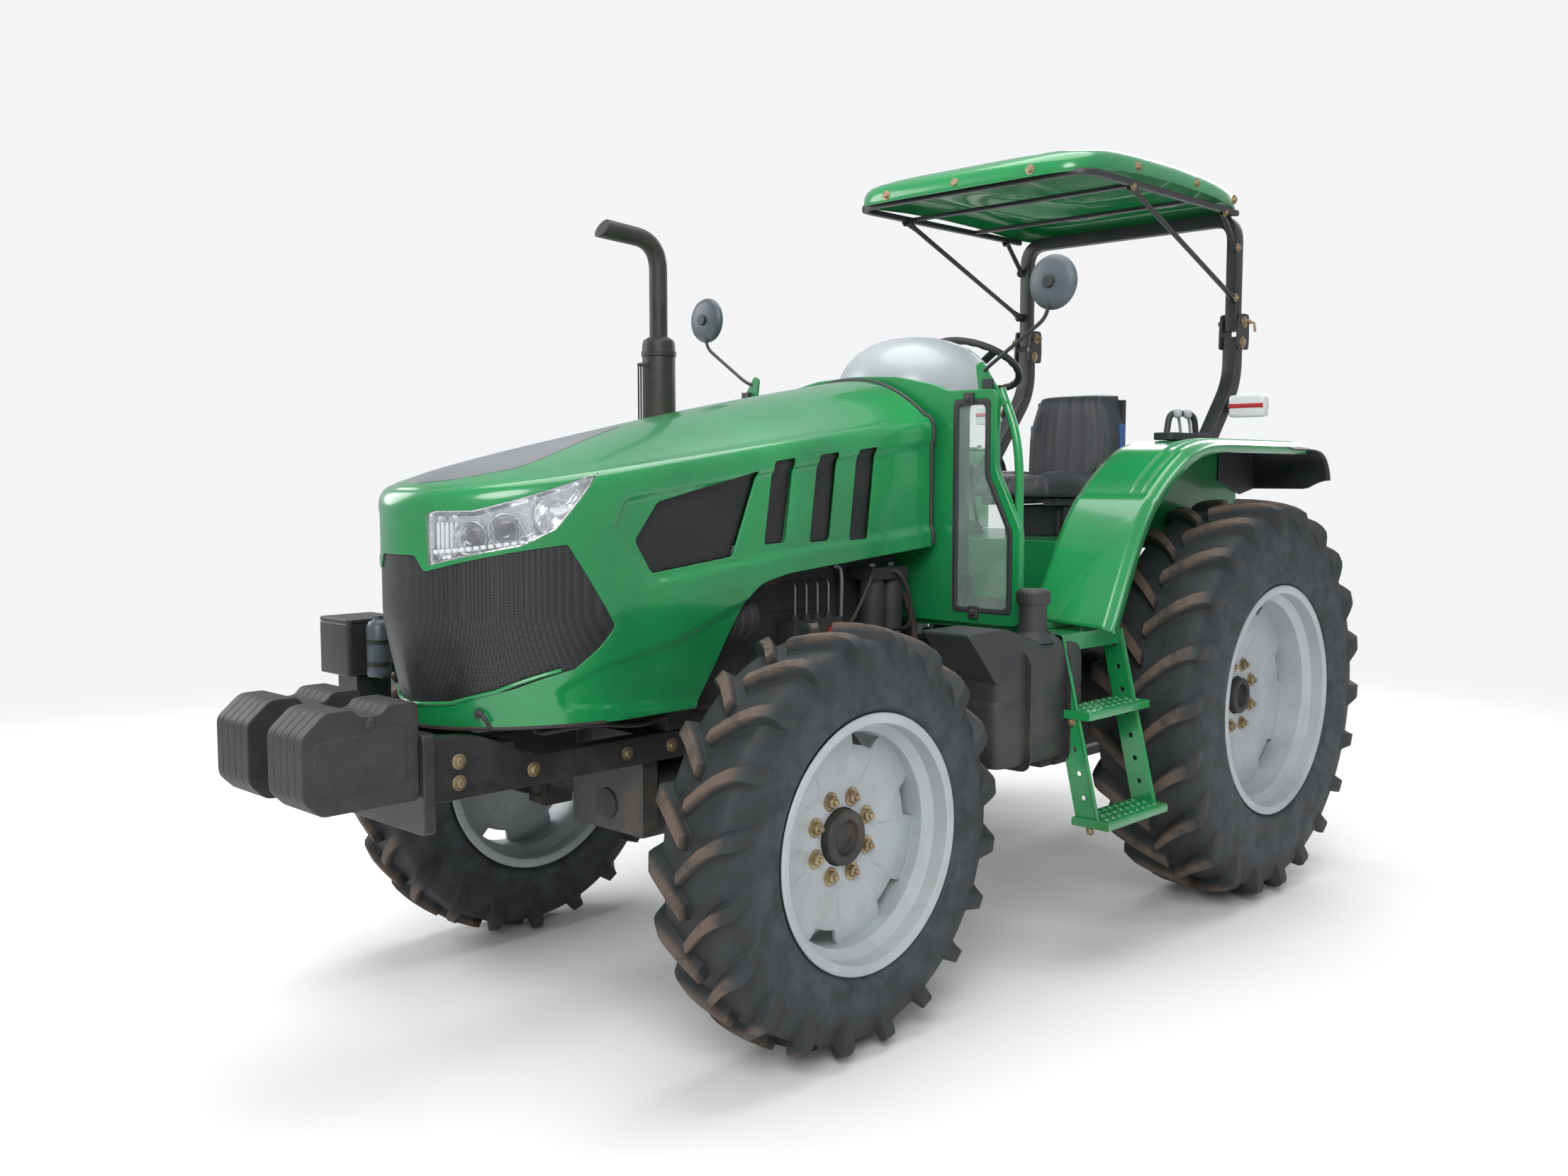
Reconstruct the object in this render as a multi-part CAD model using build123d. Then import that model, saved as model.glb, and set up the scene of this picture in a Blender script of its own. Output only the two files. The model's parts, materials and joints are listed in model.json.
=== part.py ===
"""Open-station four-wheel-drive farm tractor, built as separate pieces.

Millimetres. The front of the tractor faces -Y, its left side is +X and +Z is up.
Each piece is drawn from the rear axle (y = 0) and the ground (z = 0), and is
moved by Y_SHIFT when it is written, so that the origin lies under the middle of
the whole tractor.
"""
from build123d import *
import math
import os
from typing import NamedTuple

# ---------------------------------------------------------------- driving sizes
WHEELBASE = 2300.0
FRONT_TRACK = 1600.0
REAR_TRACK = 1808.0
GAP = 0.3            # still seat between curved faces
FACET_DROP = 4.0     # how far a tyre's flat facets lie under its round tread floor
BEAD_IN = 12.0       # how far a tyre's bead lies in from the rim's flange
RUN = 0.05           # radial running fit of a pin in its bore
FACE_GAP = 0.5       # axial play of a turning hub


class Wheel(NamedTuple):
    """Sizes of one wheel: tyre, rim, disc and the lug pattern."""
    tyre_r: float
    tyre_w: float
    seat_r: float
    rim_w: float
    disc_x: float      # disc's outward offset from the tyre's middle plane
    disc_t: float
    hub_r: float
    hole_r: float      # opening in the disc's middle
    bolt_pcd: float
    bolts: int
    slots: int         # gaps between the disc's edge and the barrel
    lugs: int          # lugs on each side
    lug_h: float
    lug_w: float
    spindle_r: float


FRONT = Wheel(630.0, 315.0, 355.6, 279.0, 12.0, 14.0, 128.0, 86.0, 240.0, 8, 6,
              20, 38.0, 38.0, 45.0)
REAR = Wheel(795.0, 430.0, 431.8, 381.0, 10.0, 16.0, 150.0, 76.0, 260.0, 8, 6,
             22, 44.0, 46.0, 55.0)

SLOT_START = 17.0     # first slot's angle from the top of a wheel's disc
SLOT_R = 58.0
SLOT_OUT = 18.0       # how far a slot's centre lies outside the disc's edge

# front axle and steering
KINGPIN_X = 640.0
KINGPIN_R = 24.0
YOKE_T = 28.0
YOKE_HALF_H = 128.0
STEER_ARM = 130.0
STEER_EYE_DX = 25.0
AXLE_BOWL_R = 138.0
AXLE_TUBE_R = 68.0
TRUNNION_R = 50.0
ROD_R = 14.0
CYL_R = 34.0
ARM_T = 24.0
KNUCKLE_FACE = KINGPIN_X + 62.0
ARM_Z0 = FRONT.tyre_r - 82.0
CYL_Z = ARM_Z0 - 23.0

# backbone
RAIL_X = 180.0
RAIL_T = 60.0
RAIL_Z0 = 790.0
RAIL_Z1 = 880.0
FRONT_Y = -WHEELBASE
FRAME_FRONT = FRONT_Y - 1000.0
CARRIER_T = 40.0
WEIGHTS = 5            # plates on each side
WEIGHT_X0 = 57.0
WEIGHT_T = 33.0
WEIGHT_SPACE = 4.0
WEIGHT_Z0, WEIGHT_Z1 = 820.0, 1090.0
SUMP_FRONT = FRONT_Y + 220.0
ENGINE_FRONT = FRONT_Y - 150.0
ENGINE_REAR = -1330.0
ENGINE_HALF_W = 225.0
ENGINE_TOP = 1400.0
SUMP_BOTTOM = 600.0
GEARBOX_HALF_W = 190.0
GEARBOX_BOTTOM = 520.0
GEARBOX_TOP = 1000.0
GEARBOX_REAR = -260.0
AXLE_BOX_HALF_W = 235.0
AXLE_BOX_BOTTOM = 500.0
AXLE_BOX_TOP = 1080.0
AXLE_BOX_REAR = 300.0
TRUMPET_R = 118.0
TRUMPET_FACE = 815.0

# rear hitch
PIVOT_R = 16.0
SHAFT_Y, SHAFT_Z, SHAFT_R = 200.0, 1000.0, 34.0
LINK_Y, LINK_Z = 250.0, 560.0
LINK_X = 330.0
ARM_END_Y, ARM_END_Z = 480.0, 1040.0
BALL_Z = 520.0
LIFT_FOOT_Z = 610.0

# bonnet
HOOD_HALF_W = 400.0
HOOD_LOW_HALF_W = 350.0
HOOD_WALL = 14.0
HOOD_REAR = -1340.0
HOOD_BOTTOM = 975.0
NOSE_Y = FRONT_Y - 958.0
NOSE_REACH = 520.0    # length of the nose's rounded plan
NOSE_LIP = ((9.0, -22.0), (30.0, 0.0), (120.0, 34.0))
CHIN_BACK = 70.0
PANEL_SINK = 8.0      # how far the window panel lies in from the bonnet's side
MESH_IN = (9.5, 13.0)
GRILLE_IN = (5.0, 11.0)
LENS_IN = 3.0
HOOD_ROOM_Z = 2200.0
INSERT_T = 6.0
SEAM_Z = 1645.0       # shoulder and crown heights at the nose, and their slopes
SEAM_SLOPE = 0.131
CROWN_Z = 1656.0
CROWN_SLOPE = 0.2
SLOT_Y = (FRONT_Y + 205, FRONT_Y + 415, FRONT_Y + 610)
SLOT_Z = 1600.0
HOOD_HINGE_Y = -1352.0
HOOD_HINGE_Z = 1998.0
HOOD_PIN_R = 6.0
HOOD_EAR_X = (54.0, 66.0)
HOOD_BRACKET_X = (40.0, 52.0)
# (x, y) of the top insert
INSERT_PLAN = [(0, NOSE_Y + 70), (120, NOSE_Y + 120), (215, NOSE_Y + 300), (90, NOSE_Y + 620),
               (0, NOSE_Y + 820), (-90, NOSE_Y + 620), (-215, NOSE_Y + 300), (-120, NOSE_Y + 120)]
# (y, z) of the bonnet's lower edge with its wheel arch, of the sunk panel and of the vent in it
ARCH_LINE = [(HOOD_REAR + 5, 1432), (FRONT_Y + 220, 1368), (FRONT_Y + 100, 1350), (FRONT_Y + 38, 1308),
             (FRONT_Y - 15, 1225), (FRONT_Y - 72, 1120), (FRONT_Y - 162, HOOD_BOTTOM),
             (FRONT_Y - 1000, HOOD_BOTTOM), (FRONT_Y - 1000, 800), (HOOD_REAR + 5, 800)]
PANEL_LINE = [(FRONT_Y - 395, 1745), (FRONT_Y - 500, 1535), (FRONT_Y - 348, 1367), (FRONT_Y + 274, 1437),
              (HOOD_REAR + 1, 1487), (HOOD_REAR + 1, 1845)]
VENT_LINE = [(FRONT_Y - 430, 1505), (FRONT_Y - 340, 1598), (FRONT_Y + 75, 1695), (FRONT_Y - 35, 1432),
             (FRONT_Y - 365, 1402)]
# grille and lamp: (x, z) seen from the front, (y, z) seen from the side
GRILLE_FRONT = [(0, 1472), (90, 1472), (118, 1424), (425, 1519), (425, 1200), (340, 1130), (220, 1062),
                (80, 1048), (0, 1048)]
GRILLE_SIDE = [(FRONT_Y - 1100, 1000), (FRONT_Y - 1100, 1530), (FRONT_Y - 668, 1530),
               (FRONT_Y - 500, 1262), (FRONT_Y - 590, 1160), (FRONT_Y - 740, 1000)]
LAMP_FRONT = [(122, 1580), (122, 1432), (425, 1528), (425, 1705)]
LAMP_SIDE = [(FRONT_Y - 1100, 1400), (FRONT_Y - 1100, 1585), (FRONT_Y - 860, 1590),
             (FRONT_Y - 530, 1692), (FRONT_Y - 668, 1532), (FRONT_Y - 900, 1400)]

# operator's station
COWL_FRONT = -1300.0
COWL_T = 30.0
COWL_HALF_W = 750.0
COWL_BOTTOM = 1160.0
COWL_TOP = 2000.0
PEDESTAL_REAR = -820.0
DOME_Y = -915.0
WHEEL_CENTRE = (0.0, -550.0, 2140.0)
WHEEL_TILT = 28.0
WHEEL_RING_R = 190.0
COLUMN_R = 40.0
SHAFT_TOP_R = 18.0
FLOOR_Z = 1165.0
FLOOR_T = 25.0
RISER_Y = -480.0
DECK_Z = 1420.0
DECK_REAR = 420.0
SEAT_STEP = 170.0      # seat's underside above the deck
SEAT_HALF_W = 240.0
SEAT_TOP = 2050.0
STEP_Y0 = -1230.0
STEP_Y1 = -850.0
STEP_PLATE = 8.0
STEP_SIDE = [(800, 1140), (880, 1140), (1040, 490), (950, 490)]    # (x, z) of a side plate
STEP_TREADS = ((855.0, 1000.0, 885.0), (935.0, 1080.0, 520.0))    # inner x, outer x, top
FENDER_IN = 660.0
FENDER_OUT = 975.0
FENDER_T = 8.0
FENDER_TOP = 1822.0
RIB_X = (850.0, 905.0)
FENDER_LINE = [(-1100, 1165), (-880, 1530), (-470, FENDER_TOP), (480, FENDER_TOP), (480, 1500),
               (-500, 1500), (-760, 1165)]    # (y, z) of a fender's side
TANK_Z = 720.0
TYRE_SWING = math.hypot((FRONT_TRACK + FRONT.tyre_w) / 2 - KINGPIN_X, FRONT.tyre_r - 30)
TANK_FRONT = FRONT_Y + TYRE_SWING + 7.0
EXHAUST_X = -530.0
EXHAUST_Y = -1820.0
POST_X = 550.0
POST_Y = 640.0
POST_W = 70.0
POST_D = 60.0
FOLD_Z = 2365.0
FOLD_Y = 655.0
FOLD_PLATE = 12.0
FOLD_PIN_R = 12.0
RAIL_OUT = 592.0
CANOPY_WALL = 12.0
CANOPY_CORNER = 130.0
CANOPY_STEP = -300.0   # where the low front hump meets the dome
CANOPY_HALF_W = 600.0
CANOPY_Y0 = -700.0
CANOPY_Y1 = 720.0
CANOPY_Z = 2850.0
CANOPY_RISE = 190.0

# fore-and-aft extent, for the origin
WEIGHT_FRONT = FRONT_Y - 1375.0
HITCH_REAR = 1010.0
Y_SHIFT = -(WEIGHT_FRONT + HITCH_REAR) / 2

PARTS = {}


# ---------------------------------------------------------------- shape helpers
def block(x0, x1, y0, y1, z0, z1):
    """Rectangular block between two corners."""
    centre = ((x0 + x1) / 2, (y0 + y1) / 2, (z0 + z1) / 2)
    return Pos(*centre) * Box(abs(x1 - x0), abs(y1 - y0), abs(z1 - z0))


def rod(p, q, r):
    """Straight round bar from p to q."""
    start, end = Vector(*p), Vector(*q)
    face = Plane(origin=start, z_dir=end - start) * Circle(r)
    return extrude(face, amount=(end - start).length)


def prism_x(points, x0, x1):
    """Outline of (y, z) corners, extruded from x0 to x1."""
    wire = Polyline(*[(x0, y, z) for y, z in points], close=True)
    return extrude(make_face(wire), amount=x1 - x0, dir=(1, 0, 0))


def prism_y(points, y0, y1):
    """Outline of (x, z) corners, extruded from y0 to y1."""
    wire = Polyline(*[(x, y0, z) for x, z in points], close=True)
    return extrude(make_face(wire), amount=y1 - y0, dir=(0, 1, 0))


def prism_z(points, z0, z1):
    """Outline of (x, y) corners, extruded from z0 to z1."""
    wire = Polyline(*[(x, y, z0) for x, y in points], close=True)
    return extrude(make_face(wire), amount=z1 - z0, dir=(0, 0, 1))


def turned_x(points, x, y, z):
    """Outline of (x, r) corners turned about the X axis, placed at a wheel's centre."""
    face = make_face(Polyline(*[(a, 0, r) for a, r in points], close=True))
    return Pos(x, y, z) * revolve(face, Axis.X)


def bent_tube(points, r, bend):
    """Round tube along straight runs joined by arcs."""
    path = FilletPolyline(*points, radius=bend)
    profile = Plane(origin=path @ 0, z_dir=path % 0) * Circle(r)
    return sweep(profile, path=path)


def chain(points, r):
    """Round bars that follow each other from point to point."""
    bars = [rod(p, q, r) for p, q in zip(points, points[1:])]
    return bars[0].fuse(*bars[1:])


def both(shape):
    """A shape on the left side and its mirror image on the right."""
    return Compound([*solids_of(shape), *solids_of(mirror(shape, Plane.YZ))])


def solids_of(shape):
    """All solids of a shape as a list."""
    return list(shape.solids())


def add(name, shape):
    """Keep a finished piece under its node name."""
    PARTS[name] = shape


# ---------------------------------------------------------------- wheels
def rim(w):
    """Drop-centre rim, its disc and the hub barrel, about a left wheel's centre."""
    half, s = w.rim_w / 2, w.seat_r
    flange, lip, drop, t = 25.0, 8.0, 32.0, 8.0
    outer = [(-half - lip, s + flange), (-half, s + flange), (-half, s), (-half + 55, s - 3),
             (-half + 80, s - drop), (half - 80, s - drop), (half - 55, s - 3), (half, s),
             (half, s + flange), (half + lip, s + flange)]
    inner = [(half + lip, s - t), (half - 51, s - t - 3), (half - 76, s - drop - t),
             (-half + 76, s - drop - t), (-half + 51, s - t - 3), (-half - lip, s - t)]
    barrel = turned_x(outer + inner, 0, 0, 0)
    disc_r = s - drop - t / 2
    x0, x1 = w.disc_x - w.disc_t / 2, w.disc_x + w.disc_t / 2
    disc = turned_x([(x0, w.hole_r), (x1, w.hole_r), (x1, disc_r), (x0, disc_r)], 0, 0, 0)
    for k in range(w.slots):
        turn = math.radians(SLOT_START + 360.0 * k / w.slots)
        y, z = (disc_r + SLOT_OUT) * math.sin(turn), (disc_r + SLOT_OUT) * math.cos(turn)
        disc -= rod((x0 - 1, y, z), (x1 + 1, y, z), SLOT_R)
    return barrel + disc


def hub(w, inner_x):
    """Hub behind the disc, with the spindle's bore, from inner_x to the disc."""
    x1 = w.disc_x - w.disc_t / 2
    shell = rod((inner_x, 0, 0), (x1, 0, 0), w.hub_r)
    nose = rod((x1, 0, 0), (x1 + 40, 0, 0), w.hole_r)
    return shell + nose - rod((inner_x, 0, 0), (x1 - 20, 0, 0), w.spindle_r + RUN)


def tyre_facet(w, top):
    """One flat-sided sector of the carcass at the wheel's top."""
    half, rim_half, s = w.tyre_w / 2, w.rim_w / 2, w.seat_r
    base = w.tyre_r - w.lug_h - FACET_DROP
    mid_r = s + 0.52 * (base - s)
    side = [(rim_half - BEAD_IN, s + GAP), (half - 3, mid_r), (half - 16, base - 52), (half * 0.66, base)]
    outline = side + [(-x, q) for x, q in reversed(side)]
    spread = math.tan(math.pi / w.lugs) * (top + 20)
    bar = prism_y(outline, -spread, spread)
    return bar & prism_x([(0, 0), (spread, top + 20), (-spread, top + 20)], -half - 5, half + 5)


def tyre(w):
    """Flat-sided carcass with a row of slanted lugs on each side, about a left wheel's centre."""
    half, step = w.tyre_w / 2, 360.0 / w.lugs
    swing = 0.34 * w.tyre_w
    inner_y = -(swing + w.lug_w) / 2
    top = math.sqrt(w.tyre_r ** 2 - inner_y ** 2)
    facets = [Rot(step * k, 0, 0) * tyre_facet(w, top) for k in range(w.lugs)]
    carcass = facets[0].fuse(*facets[1:])
    plan = [(-4.0, inner_y), (half, inner_y + swing), (half, inner_y + swing + 1.25 * w.lug_w),
            (-4.0, inner_y + w.lug_w)]
    foot = top - w.lug_h - 60.0
    crown = [(-5.0, foot), (-5.0, top), (half, top - 30), (half - 30, foot - 20)]
    lug = prism_z(plan, foot - 30, top + 5) & prism_y(crown, -w.tyre_w, w.tyre_w)
    phase = -math.degrees(math.atan2(inner_y, top))
    twin = Rot(step / 2, 0, 0) * mirror(lug, Plane.YZ)
    lugs = [Rot(step * k - phase, 0, 0) * one for k in range(w.lugs) for one in (lug, twin)]
    return carcass.fuse(*lugs)


def build_wheels():
    """Four rims with hubs and four tyres."""
    front_z, rear_z = FRONT.tyre_r, REAR.tyre_r
    front_hub = hub(FRONT, KNUCKLE_FACE + FACE_GAP - FRONT_TRACK / 2)
    rear_hub = hub(REAR, TRUMPET_FACE + FACE_GAP - REAR_TRACK / 2)
    sets = [("front", FRONT, FRONT_TRACK / 2, -WHEELBASE, front_z, front_hub),
            ("rear", REAR, REAR_TRACK / 2, 0.0, rear_z, rear_hub)]
    for end, w, x, y, z, barrel in sets:
        wheel = rim(w) + barrel
        tread = tyre(w)
        add(f"rim_{end}_left", Pos(x, y, z) * wheel)
        add(f"rim_{end}_right", Pos(-x, y, z) * mirror(wheel, Plane.YZ))
        add(f"tyre_{end}_left", Pos(x, y, z) * tread)
        add(f"tyre_{end}_right", Pos(-x, y, z) * mirror(tread, Plane.YZ))


# ---------------------------------------------------------------- front axle
def build_front_axle():
    """Beam with its centre bowl and yokes, the knuckles and the steering rod."""
    z, y = FRONT.tyre_r, -WHEELBASE
    tube = rod((-KINGPIN_X + 95, y, z), (KINGPIN_X - 95, y, z), AXLE_TUBE_R)
    bowl = rod((0, y - 92, z), (0, y + 92, z), AXLE_BOWL_R)
    cone = rod((0, y - 220, z), (0, y + 220, z), TRUNNION_R)
    beam = tube + bowl + cone
    for side in (-1, 1):
        k = side * KINGPIN_X
        back = block(k - side * 96, k - side * 70, y - 60, y + 60, z - YOKE_HALF_H, z + YOKE_HALF_H)
        beam += back
        for lo, hi in ((z - YOKE_HALF_H, z - YOKE_HALF_H + YOKE_T),
                       (z + YOKE_HALF_H - YOKE_T, z + YOKE_HALF_H)):
            ear = block(k - side * 90, k, y - 50, y + 50, lo, hi) + rod((k, y, lo), (k, y, hi), 50)
            beam += ear
            beam -= rod((k, y, lo - 1), (k, y, hi + 1), KINGPIN_R + RUN)
    cylinder_y = y + STEER_ARM
    barrel = rod((-170, cylinder_y, CYL_Z), (170, cylinder_y, CYL_Z), CYL_R)
    barrel -= rod((-171, cylinder_y, CYL_Z), (171, cylinder_y, CYL_Z), ROD_R + RUN)
    lug = block(-60, 60, y + 60, cylinder_y - CYL_R + 8, CYL_Z - 20, CYL_Z + 20)
    add("front_axle_beam", beam + barrel + lug)

    inner = YOKE_HALF_H - YOKE_T - FACE_GAP
    body = rod((KINGPIN_X, y, z - inner), (KINGPIN_X, y, z + inner), 50)
    pin = rod((KINGPIN_X, y, z - YOKE_HALF_H), (KINGPIN_X, y, z + YOKE_HALF_H), KINGPIN_R)
    stub = rod((KINGPIN_X, y, z), (KNUCKLE_FACE, y, z), 88)
    stub &= block(KINGPIN_X, KNUCKLE_FACE, y - 100, y + 100, z - inner, z + inner)
    spindle = rod((KNUCKLE_FACE, y, z), (FRONT_TRACK / 2 - 24, y, z), FRONT.spindle_r)
    eye_x = KINGPIN_X - STEER_EYE_DX
    arm = block(KINGPIN_X, KINGPIN_X + 46, y, y + STEER_ARM + 22, ARM_Z0, ARM_Z0 + ARM_T)
    arm += block(eye_x, KINGPIN_X + 46, y + STEER_ARM - 22, y + STEER_ARM + 22, ARM_Z0, ARM_Z0 + ARM_T)
    arm += rod((eye_x, y + STEER_ARM, ARM_Z0), (eye_x, y + STEER_ARM, ARM_Z0 + ARM_T), 28)
    knuckle = body + pin + stub + spindle + arm
    add("knuckle_left", knuckle)
    add("knuckle_right", mirror(knuckle, Plane.YZ))

    bar = rod((-eye_x, cylinder_y, CYL_Z), (eye_x, cylinder_y, CYL_Z), ROD_R)
    for side in (-1, 1):
        bar += rod((side * eye_x, cylinder_y, CYL_Z - 18), (side * eye_x, cylinder_y, CYL_Z + 18), 24)
    add("steering_rod", bar)


# ---------------------------------------------------------------- engine's outside
def engine_parts():
    """Injection pump with its pipes, filters, starter, alternator and dipstick on the engine's left side."""
    x, y = ENGINE_HALF_W, ENGINE_REAR
    pump = block(x, x + 75, y - 620, y - 370, 1080, 1200)
    for k in range(4):
        pipe_y = y - 580 + 56 * k
        pump += rod((x + 38, pipe_y, 1200), (x + 38, pipe_y, 1330), 7)
        pump += rod((x, pipe_y, 1324), (x + 38, pipe_y, 1324), 7)
    filters = block(x, x + 118, y - 270, y - 70, 1318, 1362)
    for filter_y in (y - 220, y - 120):
        filters += rod((x + 72, filter_y, 1130), (x + 72, filter_y, 1318), 44)
        filters += rod((x + 72, filter_y, 1362), (x + 72, filter_y, 1374), 16)
    starter = rod((x + 60, y - 270, 960), (x + 60, y - 30, 960), 58)
    starter += rod((x + 60, y - 230, 1042), (x + 60, y - 90, 1042), 26)
    starter += block(x, x + 60, y - 170, y - 130, 930, 990)
    alternator_y = ENGINE_FRONT + 150
    alternator = rod((x + 76, alternator_y, 1230), (x + 76, alternator_y + 130, 1230), 72)
    alternator += rod((x + 76, alternator_y - 34, 1230), (x + 76, alternator_y, 1230), 38)
    alternator += block(x, x + 40, alternator_y + 40, alternator_y + 90, 1180, 1280)
    dipstick = rod((x + 14, y - 320, 1000), (x + 14, y - 320, 1345), 12)
    dipstick += block(x, x + 14, y - 328, y - 312, 1080, 1100)
    return [one for part in (pump, filters, starter, alternator, dipstick) for one in solids_of(part)]


# ---------------------------------------------------------------- backbone
def build_backbone():
    """Front support, engine, gearbox and rear axle housing."""
    y, z = -WHEELBASE, FRONT.tyre_r
    frame = block(-260, 260, FRAME_FRONT - CARRIER_T, FRAME_FRONT, 720, 1000)
    for side in (-1, 1):
        x0, x1 = side * (RAIL_X - RAIL_T / 2), side * (RAIL_X + RAIL_T / 2)
        frame += block(x0, x1, FRAME_FRONT, SUMP_FRONT, RAIL_Z0, RAIL_Z1)
    for y0, y1 in ((y - 215, y - 150), (y + 175, SUMP_FRONT)):
        frame += block(-RAIL_X, RAIL_X, y0, y1, z - 90, RAIL_Z1)
        frame -= rod((0, y0 - 1, z), (0, y1 + 1, z), TRUNNION_R + GAP)
    frame += block(-640, -455, FRONT_Y - 860, FRONT_Y - 675, 1060, 1240)
    frame += block(-600, -480, FRONT_Y - 820, FRONT_Y - 700, 960, 1060)
    frame += block(-600, -150, FRONT_Y - 820, FRONT_Y - 700, 930, 960)
    frame += block(-200, -150, FRONT_Y - 820, FRONT_Y - 700, RAIL_Z1, 930)
    add("front_frame", frame)

    rear_y = FRAME_FRONT - CARRIER_T
    side = [(rear_y, WEIGHT_Z0), (rear_y, WEIGHT_Z1), (rear_y - 90, WEIGHT_Z1),
            (rear_y - 110, WEIGHT_Z1 - 26), (rear_y - 170, WEIGHT_Z1 - 26), (rear_y - 190, WEIGHT_Z1),
            (WEIGHT_FRONT + 70, WEIGHT_Z1), (WEIGHT_FRONT, WEIGHT_Z1 - 60),
            (WEIGHT_FRONT, WEIGHT_Z0 + 50), (WEIGHT_FRONT + 50, WEIGHT_Z0)]
    plates = []
    for k in range(WEIGHTS):
        x0 = WEIGHT_X0 + k * (WEIGHT_T + WEIGHT_SPACE)
        plates += solids_of(both(prism_x(side, x0, x0 + WEIGHT_T)))
    add("front_weights", Compound(plates))

    upper = block(-ENGINE_HALF_W, ENGINE_HALF_W, ENGINE_FRONT, ENGINE_REAR, RAIL_Z1, ENGINE_TOP)
    sump = block(-ENGINE_HALF_W, ENGINE_HALF_W, SUMP_FRONT, ENGINE_REAR, SUMP_BOTTOM, RAIL_Z1)
    add("engine_block", upper + sump)

    add("engine_parts", Compound(engine_parts()))

    gearbox = block(-GEARBOX_HALF_W, GEARBOX_HALF_W, ENGINE_REAR, GEARBOX_REAR,
                    GEARBOX_BOTTOM, GEARBOX_TOP)
    for y0 in (-1320, -1130):
        gearbox += block(GEARBOX_HALF_W, 860 if y0 < -1200 else 790, y0, y0 + 65, TANK_Z - 30, TANK_Z)
    add("transmission_housing", gearbox)

    zr = REAR.tyre_r
    housing = block(-AXLE_BOX_HALF_W, AXLE_BOX_HALF_W, GEARBOX_REAR, AXLE_BOX_REAR,
                    AXLE_BOX_BOTTOM, AXLE_BOX_TOP)
    housing += rod((-TRUMPET_FACE, 0, zr), (TRUMPET_FACE, 0, zr), TRUMPET_R)
    spindle_end = REAR_TRACK / 2 - 22
    housing += rod((-spindle_end, 0, zr), (spindle_end, 0, zr), REAR.spindle_r)
    housing += block(-60, 60, 0, HITCH_REAR - 90, 380, 420)
    housing += block(-60, 60, 40, 160, 420, AXLE_BOX_BOTTOM)
    housing -= rod((0, HITCH_REAR - 140, 370), (0, HITCH_REAR - 140, 430), 16)
    housing -= rod((0, AXLE_BOX_REAR - 120, 640), (0, AXLE_BOX_REAR + 1, 640), 30 + RUN)
    for x0, x1 in ((-60, -42), (42, 60)):
        housing += block(x0, x1, AXLE_BOX_REAR, AXLE_BOX_REAR + 90, 930, 1040)
    housing -= rod((-61, AXLE_BOX_REAR + 55, 985), (61, AXLE_BOX_REAR + 55, 985), 12.9)
    for side in (-1, 1):
        housing += block(side * 235, side * 290, 200, AXLE_BOX_REAR, 500, 620)
        housing -= rod((side * 234, 250, 560), (side * 291, 250, 560), PIVOT_R + RUN)
        foot = block(side * (POST_X - 60), side * (POST_X + 60), -110, 110, zr + 60, zr + 160)
        housing += foot
    housing -= rod((-AXLE_BOX_HALF_W - 1, SHAFT_Y, SHAFT_Z), (AXLE_BOX_HALF_W + 1, SHAFT_Y, SHAFT_Z),
                   SHAFT_R + RUN)
    add("rear_axle_housing", housing)

    shaft = rod((0, AXLE_BOX_REAR - 110, 640), (0, AXLE_BOX_REAR, 640), 30)
    shaft += rod((0, AXLE_BOX_REAR, 640), (0, AXLE_BOX_REAR + 95, 640), 17.5)
    add("pto_shaft", shaft)


# ---------------------------------------------------------------- rear hitch
def build_hitch():
    """Lift shaft with its arms, the lift rods and the lower links."""
    ball_y, ball_z = HITCH_REAR - 45, BALL_Z
    link = rod((LINK_X, LINK_Y, LINK_Z), (LINK_X + 60, ball_y, ball_z), 24)
    link += rod((LINK_X - 34, LINK_Y, LINK_Z), (LINK_X + 26, LINK_Y, LINK_Z), 34)
    link += rod((LINK_X + 35, ball_y, ball_z), (LINK_X + 85, ball_y, ball_z), 45)
    link -= rod((LINK_X + 34, ball_y, ball_z), (LINK_X + 86, ball_y, ball_z), 14.4)
    link += rod((236.0, LINK_Y, LINK_Z), (LINK_X, LINK_Y, LINK_Z), PIVOT_R)
    add("lower_links", both(link))

    arms = rod((-300, SHAFT_Y, SHAFT_Z), (300, SHAFT_Y, SHAFT_Z), SHAFT_R)
    for side in (-1, 1):
        x0, x1 = side * 250, side * 285
        arms += prism_x([(SHAFT_Y - 45, SHAFT_Z - 45), (SHAFT_Y + 20, SHAFT_Z - 50),
                         (ARM_END_Y + 30, ARM_END_Z - 28), (ARM_END_Y + 30, ARM_END_Z + 28),
                         (SHAFT_Y + 10, SHAFT_Z + 62), (SHAFT_Y - 45, SHAFT_Z + 45)], x0, x1)
        arms += rod((side * 285, ARM_END_Y, ARM_END_Z), (side * 330, ARM_END_Y, ARM_END_Z), 14)
    add("lift_arms", arms)

    lift = rod((310, ARM_END_Y, LIFT_FOOT_Z), (310, ARM_END_Y, ARM_END_Z), 15)
    lift += rod((290, ARM_END_Y, ARM_END_Z), (326, ARM_END_Y, ARM_END_Z), 26)
    lift -= rod((284, ARM_END_Y, ARM_END_Z), (331, ARM_END_Y, ARM_END_Z), 14 + RUN)
    add("lift_rods", both(lift))


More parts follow.
